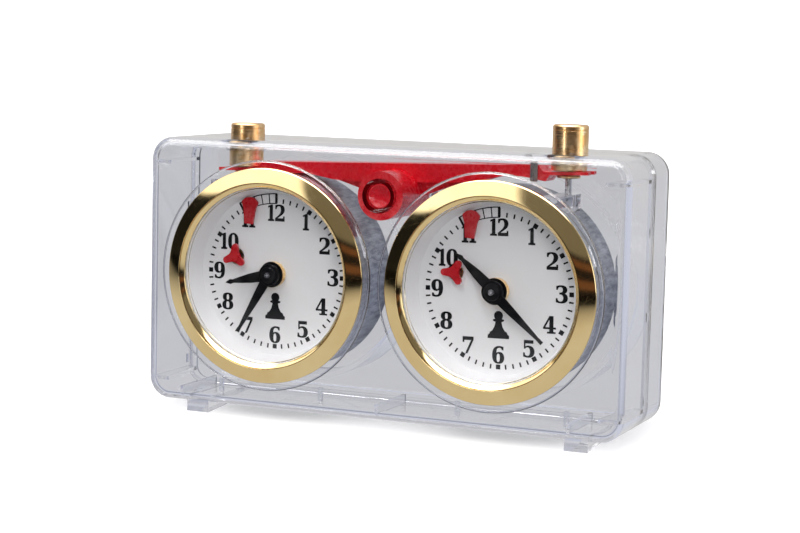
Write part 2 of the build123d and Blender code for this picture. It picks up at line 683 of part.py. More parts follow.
def pallet_lever():
    """Lever between escape wheel and balance, forked at the balance end."""
    y0, y1 = 17.5, 18.1
    tip = 10.45
    # distance along the lever, distance across it
    lever = [(0, -0.7), (tip - 1.2, -0.45), (tip - 1.0, -1.1), (tip, -1.1), (tip, -0.45),
             (tip - 0.9, -0.35), (tip - 0.9, 0.35), (tip, 0.45), (tip, 1.1), (tip - 1.0, 1.1),
             (tip - 1.2, 0.45), (0, 0.7)]
    body = prism(turned(lever, -bearing(PALLET, BALANCE)), y0, y1)
    # an arm and pin on each side of the line to the escape wheel
    for offset in (-40, 40):
        x, z = polar(7.0, bearing(INDICATOR, PALLET) + offset)
        pin = (INDICATOR[0] + x - PALLET[0], INDICATOR[1] + z - PALLET[1])
        end = math.hypot(*pin) + 0.3
        arm = [(0, 0.6), (0, -0.6), (end, -0.45), (end, 0.45)]
        body += prism(turned(arm, -bearing(CENTRE, pin)), y0, y1)
        body += rod(0.3, 16.4, 17.6, *pin)
    body += rod(1.1, y0, y1) + rod(0.55, *ARBOR_Y) + rod(0.3, *PIVOT_Y)
    return body


def balance_wheel():
    arm = [(-0.55, 0.8), (0.55, 0.8), (0.45, 7.6), (-0.45, 7.6)]
    wheel = tube(8.5, 7.3, 20.5, 21.7) + rod(1.3, 20.5, 21.7)
    for i in range(3):
        wheel += prism(turned(arm, 120 * i + 180), 20.6, 21.3)
    wheel += rod(0.6, *ARBOR_Y) + rod(0.3, *PIVOT_Y) + rod(1.7, 18.6, 19.2)
    # pin on the roller, on the side of the pallet lever
    wheel += rod(0.22, 18.16, 18.7, *polar(1.25, bearing(BALANCE, PALLET)))
    return wheel


def hairspring():
    """Flat spiral with its collet, and its stud under the back plate."""
    end_r = 5.6
    spring = spiral(start_r=1.0, end_r=end_r, thickness=0.14, steps=150, y0=22.9, y1=23.5)
    spring += tube(1.05, 0.66, 22.8, 23.6)
    spring += rod(0.45, 22.7, 24.98, end_r + 0.1, 0)
    return spring


# ---------------------------------------------------------------------------
# Motion work, hands, knob and flag, each piece drawn about its own axis
# ---------------------------------------------------------------------------
# left halves of the outlines, (x, z)
HOUR_HAND = [(-1.75, 0.0), (-1.95, 4.0), (-1.7, 8.5), (-1.05, 13.0), (-0.62, 15.6),
             (-0.9, 16.6), (0, 18.6)]
MINUTE_HAND = [(-1.6, 0.0), (-1.75, 4.0), (-1.5, 9.0), (-0.85, 18.0), (-0.55, 22.0),
               (-0.62, 24.4)]
FLAG_BLADE = [(-1.6, -7.0), (-2.3, -1.7), (-3.1, 0.4), (-3.0, 1.1), (-1.6, 2.3), (0, 2.6)]


def centre_arbor():
    arbor = rod(1.0, 1.75, 11.0) + gear(MINUTE_MESH.pinion, MINUTE_MESH.module, 10.7, 12.3)
    arbor += rod(1.5, 12.2, 27.8) + rod(1.3, 27.7, 37.0)
    arbor -= rod(0.55, 1.0, 3.2)
    return arbor


def minute_wheel():
    phase = mesh_phase(MINUTE_MESH.pinion, CENTRE, MINUTE_MESH.wheel, MINUTE)
    wheel = gear(MINUTE_MESH.wheel, MINUTE_MESH.module, 10.9, 11.7, phase)
    wheel -= spokes(2.6, 5.2, 3, 1.2, 10, 13)
    wheel += gear(HOUR_MESH.pinion, HOUR_MESH.module, 9.1, 11.0)
    wheel -= rod(0.64, 8, 13)
    return wheel


def hour_wheel():
    phase = mesh_phase(HOUR_MESH.pinion, MINUTE, HOUR_MESH.wheel, CENTRE)
    wheel = gear(HOUR_MESH.wheel, HOUR_MESH.module, 9.3, 10.2, phase)
    wheel -= spokes(3.2, 5.6, 3, 1.3, 8, 12)
    wheel += rod(1.7, 5.0, 10.2)
    wheel -= rod(1.05, 3, 12)
    return wheel


def hour_hand(angle):
    y0, y1 = 4.9, 5.35
    hand = prism(turned(mirrored(HOUR_HAND), angle), y0, y1)
    hand += rod(3.5, y0, y1)
    hand += rod(4.6, y1, 7.7)
    hand -= rod(1.705, 4, 9)
    return hand


def minute_hand(angle):
    hand = prism(turned(mirrored(MINUTE_HAND), angle), 3.2, 3.65)
    hand += lathe([(0, 2.55), (2.7, 2.55), (2.9, 2.75), (3.0, 3.0), (3.7, 3.0), (3.9, 3.2),
                   (3.9, 3.75), (2.2, 3.9), (2.2, 4.7), (0, 4.7)])
    hand -= rod(1.005, 0, 6)
    return hand


def setting_knob():
    """Knob with a grooved rim."""
    knob = lathe([(0, 33.0), (4.6, 33.0), (5.0, 33.4), (5.0, 38.6), (4.5, 39.2), (0, 39.4)])
    grooves = 18
    for i in range(grooves):
        knob -= rod(0.4, 32.5, 38.2, *polar(5.15, 360 * i / grooves))
    knob -= rod(1.305, 30, 37.05)
    return knob


def flag():
    """Hanging flag on its pin: round head, blade tapering to a flat end."""
    body = prism(turned(mirrored(FLAG_BLADE), 3), 6.45, 7.45)
    body += rod(0.7, 7.3, 11.0) + rod(1.2, 10.2, 10.7)
    return body


# ---------------------------------------------------------------------------
# Build and save
# ---------------------------------------------------------------------------
def on_dial(side, place=CENTRE):
    """Location of a place in the movement on the given side."""
    return Pos(side * DIAL_X + place[0], 0, DIAL_Z + place[1])


def on_both_dials(build, places):
    """One piece at each of the places, on the left dial and then the right."""
    return [build(side * DIAL_X + x, DIAL_Z + z) for side in SIDES.values() for x, z in places]


save("front_shell", front_shell())
save("rear_cover", rear_cover())
save("movement_screws", *on_both_dials(movement_screw, SCREWS))
save("plate_nuts", *on_both_dials(plate_nut, PILLARS))
# the rocker rests with its right end up
save("rocker", rocker(), at=Pos(0, 0, PIVOT_Z) * Rot(0, -TILT, 0) * Pos(0, 0, -PIVOT_Z))
save("rocker_leaf_spring", rocker_leaf_spring())

# pieces alike in both movements, with their places
ALIKE = [
    (bezel, CENTRE), (lens, CENTRE), (dial, CENTRE), (front_plate, CENTRE),
    (back_plate, CENTRE), (third_wheel, THIRD), (centre_wheel, CENTRE),
    (mainspring_barrel, BARREL), (mainspring, BARREL), (click, BARREL),
    (escape_wheel, INDICATOR), (pallet_lever, PALLET), (balance_wheel, BALANCE),
    (hairspring, BALANCE), (centre_arbor, CENTRE), (minute_wheel, MINUTE),
    (hour_wheel, CENTRE), (setting_knob, CENTRE), (flag, FLAG),
]
for build, place in ALIKE:
    piece = build()
    for name, side in SIDES.items():
        save(build.__name__ + "_" + name, piece, at=on_dial(side, place))

for name, side in SIDES.items():
    height = Pos(0, 0, -PLUNGER_TRAVEL if name == "left" else 0.0)
    save("plunger_" + name, plunger(side), at=height)
    save("brake_wire_" + name, brake_wire(side), at=height)
    save("can_" + name, can(side), at=on_dial(side))
    key_place = on_dial(side, BARREL) * Rot(0, KEY_TURN[name], 0)
    save("barrel_arbor_" + name, barrel_arbor(), at=key_place)
    save("winding_key_" + name, winding_key(), at=key_place)
    indicator = going_indicator(INDICATOR_TURN[name])
    save("going_indicator_" + name, indicator, at=on_dial(side, INDICATOR))
    hour_angle, minute_angle = HAND_ANGLES[name]
    save("hour_hand_" + name, hour_hand(hour_angle), at=on_dial(side))
    save("minute_hand_" + name, minute_hand(minute_angle), at=on_dial(side))
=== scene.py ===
"""Chess clock with two dials in a clear body, on a pale sweep.

This script adds the dial print, turned bezels, bead rings and lenses, gives every piece its
material, and sets up the floor, lights, world and camera.

New pieces are built in the body frame, in millimetres: X to the right, Y 0 at the front face and
growing to the back, Z 0 under the body. PLACE leans them back and carries them to the row frame,
which is in metres.
"""
import math

import bmesh
import bpy
from mathutils import Matrix, Vector


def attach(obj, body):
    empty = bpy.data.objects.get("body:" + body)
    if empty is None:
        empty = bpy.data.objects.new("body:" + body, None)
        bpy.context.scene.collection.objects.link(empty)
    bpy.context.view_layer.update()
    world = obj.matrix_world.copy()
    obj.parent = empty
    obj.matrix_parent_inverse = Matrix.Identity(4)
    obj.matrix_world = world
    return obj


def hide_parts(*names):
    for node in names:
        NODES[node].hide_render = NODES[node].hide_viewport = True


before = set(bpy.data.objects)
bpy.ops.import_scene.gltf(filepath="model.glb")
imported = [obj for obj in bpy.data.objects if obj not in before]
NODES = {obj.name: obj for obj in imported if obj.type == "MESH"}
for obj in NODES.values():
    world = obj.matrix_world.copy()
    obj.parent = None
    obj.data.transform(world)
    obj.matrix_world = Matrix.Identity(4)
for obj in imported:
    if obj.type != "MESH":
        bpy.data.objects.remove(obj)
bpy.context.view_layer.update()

SCENE = bpy.context.scene

LEAN = math.radians(3.55)
LEAN_BACK = Matrix.Rotation(-LEAN, 4, "X")
PLACE = Matrix.Translation((0.0, -0.02693, 0.003717)) @ LEAN_BACK @ Matrix.Scale(0.001, 4)
DIAL_X, DIAL_Z = 42.33, 47.83
SIDES = {"left": -DIAL_X, "right": DIAL_X}
DIAL_Y = 8.15  # front face of the dial plates

# ---------------------------------------------------------------------------
# Node graphs
# ---------------------------------------------------------------------------


class Graph:
    """A shader node tree, with short calls for the nodes used here. Calls return output sockets."""

    def __init__(self, tree, output, where):
        self.tree = tree
        tree.nodes.clear()
        self.out = self.node(output)
        self.coord = self.node("TexCoord")
        self.where = self.coord.outputs[where]

    def node(self, kind, inputs=None, **settings):
        """Makes a node. An input is either a socket to link or a value to set."""
        node = self.tree.nodes.new("ShaderNode" + kind)
        for key, value in settings.items():
            setattr(node, key, value)
        for key, value in (inputs or {}).items():
            if isinstance(value, bpy.types.NodeSocket):
                self.tree.links.new(value, node.inputs[key])
            else:
                node.inputs[key].default_value = value
        return node

    def make(self, kind, inputs, **settings):
        return self.node(kind, inputs, **settings).outputs[0]

    def end(self, shader):
        self.tree.links.new(shader, self.out.inputs["Surface"])

    def math(self, operation, first, second=0.0, clamp=False):
        return self.make("Math", {0: first, 1: second}, operation=operation, use_clamp=clamp)

    def add(self, first, second):
        return self.math("ADD", first, second)

    def multiply(self, value, by, clamp=False):
        return self.math("MULTIPLY", value, by, clamp)

    def highest(self, first, second):
        return self.math("MAXIMUM", first, second)

    def spread(self, value, to, over=(0.3, 0.7)):
        """Maps the range over onto the range to."""
        return self.make("MapRange", {"Value": value, "From Min": over[0], "From Max": over[1],
                                      "To Min": to[0], "To Max": to[1]})

    def rise(self, value, over=(0.3, 0.7)):
        return self.spread(value, (0.0, 1.0), over)

    def fall(self, value, over):
        return self.spread(value, (1.0, 0.0), over)

    def noise(self, scale, detail=3.0, rough=0.55, where=None, stretch=None):
        if where is None:
            where = self.where
        if stretch:
            where = self.make("Mapping", {"Vector": where, "Scale": stretch})
        return self.node("TexNoise", {"Vector": where, "Scale": scale, "Detail": detail,
                                      "Roughness": rough}).outputs["Fac"]

    def mix(self, fac, first, second):
        """Blends two colours, each a socket or an (r, g, b)."""
        colours = [(*c, 1.0) if isinstance(c, tuple) else c for c in (first, second)]
        node = self.node("Mix", {0: fac, 6: colours[0], 7: colours[1]}, data_type="RGBA")
        return node.outputs[2]

    def mix_shader(self, fac, first, second):
        return self.make("MixShader", {0: fac, 1: first, 2: second})

    def glow(self, colour, strength):
        return self.make("Emission", {"Color": (*colour, 1.0), "Strength": strength})

    def bump(self, height, strength, distance, normal=None):
        inputs = {"Height": height, "Strength": strength, "Distance": distance}
        if normal is not None:
            inputs["Normal"] = normal
        return self.make("Bump", inputs)

    def scratches(self, scale, width, angle=0.3):
        """Thin hairlines: 1 on a line, 0 elsewhere."""
        where = self.make("Mapping", {"Vector": self.where, "Scale": (1.0, 0.12, 1.0),
                                      "Rotation": (angle, 1.3 * angle, 0.7)})
        cells = self.node("TexVoronoi", {"Vector": where, "Scale": scale},
                          feature="DISTANCE_TO_EDGE")
        return self.fall(cells.outputs["Distance"], over=(0.0, width))

    def edge_wear(self):
        """Patches along convex edges."""
        geometry = self.node("NewGeometry")
        patch = self.noise(scale=220.0, detail=4.0)
        edge = self.rise(geometry.outputs["Pointiness"], over=(0.52, 0.62))
        return self.multiply(edge, by=self.rise(patch, over=(0.4, 0.6)), clamp=True)

    def polar(self, dial_x):
        """(angle, radius, depth) round a dial axis as a vector, radius and depth in mm."""
        centre = tuple(PLACE @ Vector((dial_x, 0, DIAL_Z)))
        offset = self.make("VectorMath", {0: self.where, 1: centre}, operation="SUBTRACT")
        upright = self.make("VectorRotate", {"Vector": offset, "Angle": LEAN},
                            rotation_type="X_AXIS")
        x, y, z = self.node("SeparateXYZ", {0: upright}).outputs
        angle = self.math("ARCTAN2", z, x)
        radius = self.math("SQRT", self.add(self.multiply(x, by=x), self.multiply(z, by=z)))
        return self.make("CombineXYZ", {"X": angle, "Y": self.multiply(radius, by=1000.0),
                                        "Z": self.multiply(y, by=1000.0)})

    def principled(self, colour, rough, normal, more):
        return self.make("BsdfPrincipled", {"Base Color": colour, "Roughness": rough,
                                            "Normal": normal, **more})

    def is_inside(self, path):
        """1 for light that has passed through clear plastic or bounced many times."""
        deep = self.math("GREATER_THAN", path.outputs["Ray Depth"], 4.5)
        return self.highest(path.outputs["Is Transmission Ray"], deep)


class Material(Graph):
    def __init__(self, name):
        self.material = bpy.data.materials.new(name)
        self.material.use_nodes = True
        super().__init__(self.material.node_tree, "OutputMaterial", "Object")

    def done(self, shader):
        self.end(shader)
        return self.material


# ---------------------------------------------------------------------------
# Materials. rough is the middle roughness, wear_to the colour of worn edges, grain a noise scale,
# bump the strength of that grain, and each pair of tones is blended by a soft cloud.
# ---------------------------------------------------------------------------


def clear_material(name, tones, rough, wave, shade, scratch=0.5):
    """Clear moulded plastic. wave is the flow ripple. Shadow, diffuse and deep rays pass
    straight through, dimmed by shade."""
    mat = Material(name)
    flow = mat.noise(scale=9.0, detail=2.0, rough=0.5)
    fine = mat.noise(scale=900.0, detail=2.0)
    lines = mat.scratches(scale=260.0, width=0.02)
    colour = mat.mix(mat.rise(flow), *tones)
    roughness = mat.add(mat.spread(fine, to=(rough * 0.7, rough * 1.3)),
                        mat.multiply(lines, by=0.05 * scratch))
    normal = mat.bump(flow, strength=wave, distance=0.001)
    normal = mat.bump(lines, strength=0.03 * scratch, distance=0.00002, normal=normal)
    glass = mat.principled(colour, roughness, normal, {"Transmission Weight": 1.0, "IOR": 1.49})
    dimmed = mat.make("BsdfTransparent", {"Color": (*shade, 1.0)})
    path = mat.node("LightPath").outputs
    passing = mat.highest(path["Is Shadow Ray"], path["Is Diffuse Ray"])
    passing = mat.highest(passing, mat.math("GREATER_THAN", path["Ray Depth"], 5.5))
    return mat.done(mat.mix_shader(passing, glass, dimmed))


def metal_material(name, light, dark, rough, grain, wear_to=None, bump=0.08, stretch=None):
    """Metal with tone variation, fine grain, hairlines and brighter worn edges."""
    mat = Material(name)
    tone = mat.noise(scale=70.0, detail=4.0)
    fine = mat.noise(scale=grain, stretch=stretch)
    lines = mat.scratches(scale=420.0, width=0.03, angle=0.9)
    colour = mat.mix(mat.rise(tone, over=(0.35, 0.65)), dark, light)
    if wear_to:
        colour = mat.mix(mat.edge_wear(), colour, wear_to)
    roughness = mat.add(mat.spread(fine, to=(rough * 0.75, rough * 1.3)),
                        mat.multiply(lines, by=0.06))
    normal = mat.bump(fine, strength=bump, distance=0.00002)
    normal = mat.bump(lines, strength=0.05, distance=0.00002, normal=normal)
    return mat.done(mat.principled(colour, roughness, normal, {"Metallic": 1.0}))


def plastic_material(name, tones, rough, coat=0.0, subsurface=0.0, bump=0.05, grain=700.0,
                     wear_to=None, specular=0.5, glow=0.0):
    """Opaque moulded plastic or paint. glow, when given, is a painted glow: the surface emits its
    own colour, though it is no lamp.
    """
    mat = Material(name)
    tone = mat.noise(scale=45.0)
    fine = mat.noise(scale=grain)
    lines = mat.scratches(scale=330.0, width=0.03, angle=1.4)
    colour = mat.mix(mat.rise(tone), *tones)
    if wear_to:
        colour = mat.mix(mat.multiply(mat.edge_wear(), by=0.6), colour, wear_to)
    roughness = mat.add(mat.spread(fine, to=(rough * 0.8, rough * 1.25)),
                        mat.multiply(lines, by=0.1))
    normal = mat.bump(fine, strength=bump, distance=0.00003)
    more = {"Coat Weight": coat, "Coat Roughness": 0.08, "Specular IOR Level": specular}
    if subsurface:
        more |= {"Subsurface Weight": subsurface, "Subsurface Scale": 0.001}
    # painted glow: emission in the base colour
    if glow:
        more |= {"Emission Color": colour, "Emission Strength": glow}
    return mat.done(mat.principled(colour, roughness, normal, more))


def gold_material(name, dial_x):
    """Polished lacquered brass with a fine turned grain round the dial axis."""
    mat = Material(name)
    turned = mat.noise(scale=1.0, rough=0.6, where=mat.polar(dial_x), stretch=(6.0, 14.0, 14.0))
    satin = mat.noise(scale=2600.0, detail=2.0)
    cloud = mat.noise(scale=60.0)
    lines = mat.scratches(scale=300.0, width=0.025, angle=2.1)
    colour = mat.mix(mat.rise(cloud), (0.80, 0.60, 0.29), (0.87, 0.69, 0.37))
    roughness = mat.add(mat.spread(turned, to=(0.05, 0.095)), mat.multiply(lines, by=0.08))
    roughness = mat.add(roughness, mat.spread(satin, to=(0.0, 0.03)))
    normal = mat.bump(turned, strength=0.03, distance=0.00004)
    normal = mat.bump(satin, strength=0.05, distance=0.00001, normal=normal)
    return mat.done(mat.principled(colour, roughness, normal, {
        "Metallic": 1.0, "Coat Weight": 0.25, "Coat Roughness": 0.06}))


def turned_brass(name):
    """Lathe-turned brass: fine rings up its height, smudges of tarnish, and a painted sheen of
    light streaks round its axis that stand in for highlights.
    """
    mat = Material(name)
    rings = mat.noise(scale=1.0, detail=2.0, rough=0.7, stretch=(20.0, 20.0, 5200.0))
    # pattern of the painted sheen: streaks round the axis, even up the height
    sweep = mat.noise(scale=1.0, rough=0.6, stretch=(500.0, 500.0, 60.0))
    smudge = mat.noise(scale=170.0, detail=4.0)
    colour = mat.mix(mat.rise(smudge, over=(0.35, 0.7)), (0.52, 0.26, 0.08), (0.70, 0.41, 0.16))
    # painted sheen: the streaks lighten the brass towards a pale highlight colour, standing in for
    # reflections
    painted_sheen = mat.multiply(mat.spread(sweep, to=(0.0, 0.55)), by=1.0)
    colour = mat.mix(painted_sheen, colour, (0.80, 0.60, 0.34))
    colour = mat.mix(mat.edge_wear(), colour, (0.93, 0.80, 0.55))
    roughness = mat.add(mat.spread(rings, to=(0.2, 0.36)), mat.spread(smudge, to=(0.0, 0.08)))
    normal = mat.bump(rings, strength=0.45, distance=0.00004)
    return mat.done(mat.principled(colour, roughness, normal, {"Metallic": 1.0}))


def can_material(name, dial_x):
    """Satin rolled steel drum with streaks along its depth."""
    mat = Material(name)
    polar = mat.polar(dial_x)
    along = mat.noise(scale=1.0, detail=4.0, rough=0.65, where=polar, stretch=(26.0, 0.3, 0.18))
    fine = mat.noise(scale=1.0, rough=0.6, where=polar, stretch=(160.0, 1.0, 0.5))
    cloud = mat.noise(scale=55.0)
    colour = mat.mix(mat.rise(along, over=(0.35, 0.65)), (0.22, 0.235, 0.275), (0.50, 0.52, 0.57))
    roughness = mat.add(mat.spread(fine, to=(0.24, 0.38)), mat.spread(cloud, to=(0.0, 0.1)))
    normal = mat.bump(fine, strength=0.12, distance=0.00003)
    return mat.done(mat.principled(colour, roughness, normal, {"Metallic": 1.0}))


CLEAR = clear_material(
    "clear_plastic", tones=((0.925, 0.93, 0.945), (0.94, 0.945, 0.955)),
    rough=0.012, wave=0.05, shade=(0.93, 0.93, 0.94))
CLEAR_REAR = clear_material(
    "clear_plastic_rear", tones=((0.90, 0.905, 0.925), (0.92, 0.925, 0.94)),
    rough=0.016, wave=0.06, shade=(0.93, 0.93, 0.94))
LENS = clear_material(
    "lens_plastic", tones=((0.985, 0.985, 0.99), (0.975, 0.98, 0.985)),
    rough=0.006, wave=0.01, shade=(0.97, 0.97, 0.97), scratch=0.2)
GOLD = {side: gold_material("gold_" + side, dial_x) for side, dial_x in SIDES.items()}
DIAL_WHITE = plastic_material(
    "dial_white", tones=((0.78, 0.78, 0.80), (0.81, 0.81, 0.83)),
    rough=0.42, bump=0.03, grain=1500.0)
CAN = {side: can_material("can_metal_" + side, dial_x) for side, dial_x in SIDES.items()}
PLATE = metal_material(
    "plate_brass", light=(0.78, 0.62, 0.34), dark=(0.62, 0.46, 0.22),
    rough=0.34, grain=1500.0, bump=0.1, stretch=(1.0, 1.0, 0.08))
WHEEL = metal_material(
    "wheel_brass", light=(0.82, 0.66, 0.36), dark=(0.66, 0.48, 0.22),
    rough=0.26, grain=1800.0, wear_to=(0.95, 0.85, 0.6))
STEEL = metal_material(
    "steel", light=(0.62, 0.62, 0.64), dark=(0.44, 0.45, 0.47),
    rough=0.26, grain=1600.0, wear_to=(0.85, 0.85, 0.86))
SPRING = metal_material(
    "spring_steel", light=(0.20, 0.21, 0.24), dark=(0.10, 0.11, 0.14),
    rough=0.3, grain=1400.0, wear_to=(0.5, 0.5, 0.52))
BLACK = plastic_material(
    "black_hand", tones=((0.002, 0.002, 0.003), (0.004, 0.004, 0.005)),
    rough=0.34, bump=0.06, wear_to=(0.04, 0.04, 0.04), specular=0.18)
KNOB = plastic_material(
    "black_plastic", tones=((0.016, 0.016, 0.018), (0.028, 0.028, 0.03)),
    rough=0.38, bump=0.12, wear_to=(0.14, 0.14, 0.14))
# the red gets a faint painted glow, standing in for light that passes through the translucent red
# into the deep hub
RED = plastic_material(
    "red_plastic", tones=((0.53, 0.003, 0.010), (0.61, 0.005, 0.016)),
    rough=0.26, coat=0.15, subsurface=0.12, wear_to=(0.8, 0.1, 0.1), glow=0.08)
# a fainter painted glow on the small red parts
RED_SMALL = plastic_material(
    "red_plastic_small", tones=((0.40, 0.002, 0.008), (0.48, 0.004, 0.012)),
    rough=0.30, coat=0.1, subsurface=0.08, bump=0.08, wear_to=(0.6, 0.05, 0.06), glow=0.04)
INK = plastic_material(
    "dial_ink", tones=((0.005, 0.005, 0.006), (0.010, 0.010, 0.012)),
    rough=0.5, bump=0.1, grain=2400.0, specular=0.15)
BRASS = {side: turned_brass("button_brass_" + side) for side in SIDES}
COLLET = metal_material(
    "collet_brass", light=(0.80, 0.50, 0.18), dark=(0.66, 0.36, 0.10),
    rough=0.24, grain=1200.0, wear_to=(0.95, 0.8, 0.5))

# ---------------------------------------------------------------------------
# Mesh building. Shapes in the dial plane are loops of (x, z) points.
# ---------------------------------------------------------------------------


def to_object(name, mesh, material, crease=32.0):
    """Makes a body-frame bmesh an object that rides on the body, smooth up to the crease angle."""
    data = bpy.data.meshes.new(name)
    mesh.to_mesh(data)
    mesh.free()
    data.transform(PLACE)
    data.polygons.foreach_set("use_smooth", [True] * len(data.polygons))
    data.update()
    data.set_sharp_from_angle(angle=math.radians(crease))
    obj = bpy.data.objects.new(name, data)
    SCENE.collection.objects.link(obj)
    data.materials.append(material)
    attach(obj, "body")
    return obj


def lathe(profile, dial_x, segments):
    """Turns a closed profile of (radius, y) about a dial axis. Radius 0 closes on the axis."""
    mesh = bmesh.new()
    rings = []
    for radius, y in profile:
        if radius < 1e-6:
            rings.append([mesh.verts.new((dial_x, y, DIAL_Z))])
            continue
        angles = [2 * math.pi * i / segments for i in range(segments)]
        rings.append([mesh.verts.new((dial_x + radius * math.cos(a), y,
                                      DIAL_Z + radius * math.sin(a))) for a in angles])
    for here, there in zip(rings, rings[1:] + rings[:1]):
        if len(here) == 1 and len(there) == 1:
            continue
        for i in range(segments):
            j = (i + 1) % segments
            if len(here) == 1:
                mesh.faces.new((here[0], there[j], there[i]))
            elif len(there) == 1:
                mesh.faces.new((here[i], here[j], there[0]))
            else:
                mesh.faces.new((here[i], here[j], there[j], there[i]))
    bmesh.ops.recalc_face_normals(mesh, faces=mesh.faces)
    return mesh


# the ink starts inside the dial plate and ends just behind its nominal face
INK_Y0, INK_Y1 = DIAL_Y - 0.05, DIAL_Y + 0.004


def add_ink(mesh, loops, centre_x, centre_z):
    """Adds flat outlines, even-odd filled, with the thickness of the ink."""
    curve = bpy.data.curves.new("tmp", "CURVE")
    curve.dimensions = "2D"
    curve.fill_mode = "BOTH"
    for loop in loops:
        spline = curve.splines.new("POLY")
        spline.points.add(len(loop) - 1)
        for point, (x, z) in zip(spline.points, loop):
            point.co = (x, z, 0.0, 1.0)
        spline.use_cyclic_u = True
    curve.extrude = (INK_Y1 - INK_Y0) / 2
    obj = bpy.data.objects.new("tmp", curve)
    SCENE.collection.objects.link(obj)
    evaluated = obj.evaluated_get(bpy.context.evaluated_depsgraph_get())
    data = bpy.data.meshes.new_from_object(evaluated)
    stand = Matrix.Rotation(math.radians(90), 4, "X")
    data.transform(Matrix.Translation((centre_x, (INK_Y0 + INK_Y1) / 2, centre_z)) @ stand)
    mesh.from_mesh(data)
    bpy.data.objects.remove(obj)
    bpy.data.curves.remove(curve)
    bpy.data.meshes.remove(data)


def clock_dir(degrees):
    """Unit (x, z) at a clock angle, clockwise from 12."""
    return math.sin(math.radians(degrees)), math.cos(math.radians(degrees))


def radial_bar(degrees, inner, outer, half_width):
    x, z = clock_dir(degrees)
    side_x, side_z = z * half_width, -x * half_width
    return [(x * inner - side_x, z * inner - side_z), (x * outer - side_x, z * outer - side_z),
            (x * outer + side_x, z * outer + side_z), (x * inner + side_x, z * inner + side_z)]


def band(inner, outer, start, end, steps=24):
    """Strip of a ring between two clock angles."""
    rays = [clock_dir(start + (end - start) * i / steps) for i in range(steps + 1)]
    return [(outer * x, outer * z) for x, z in rays] + [(inner * x, inner * z)
                                                        for x, z in rays[::-1]]


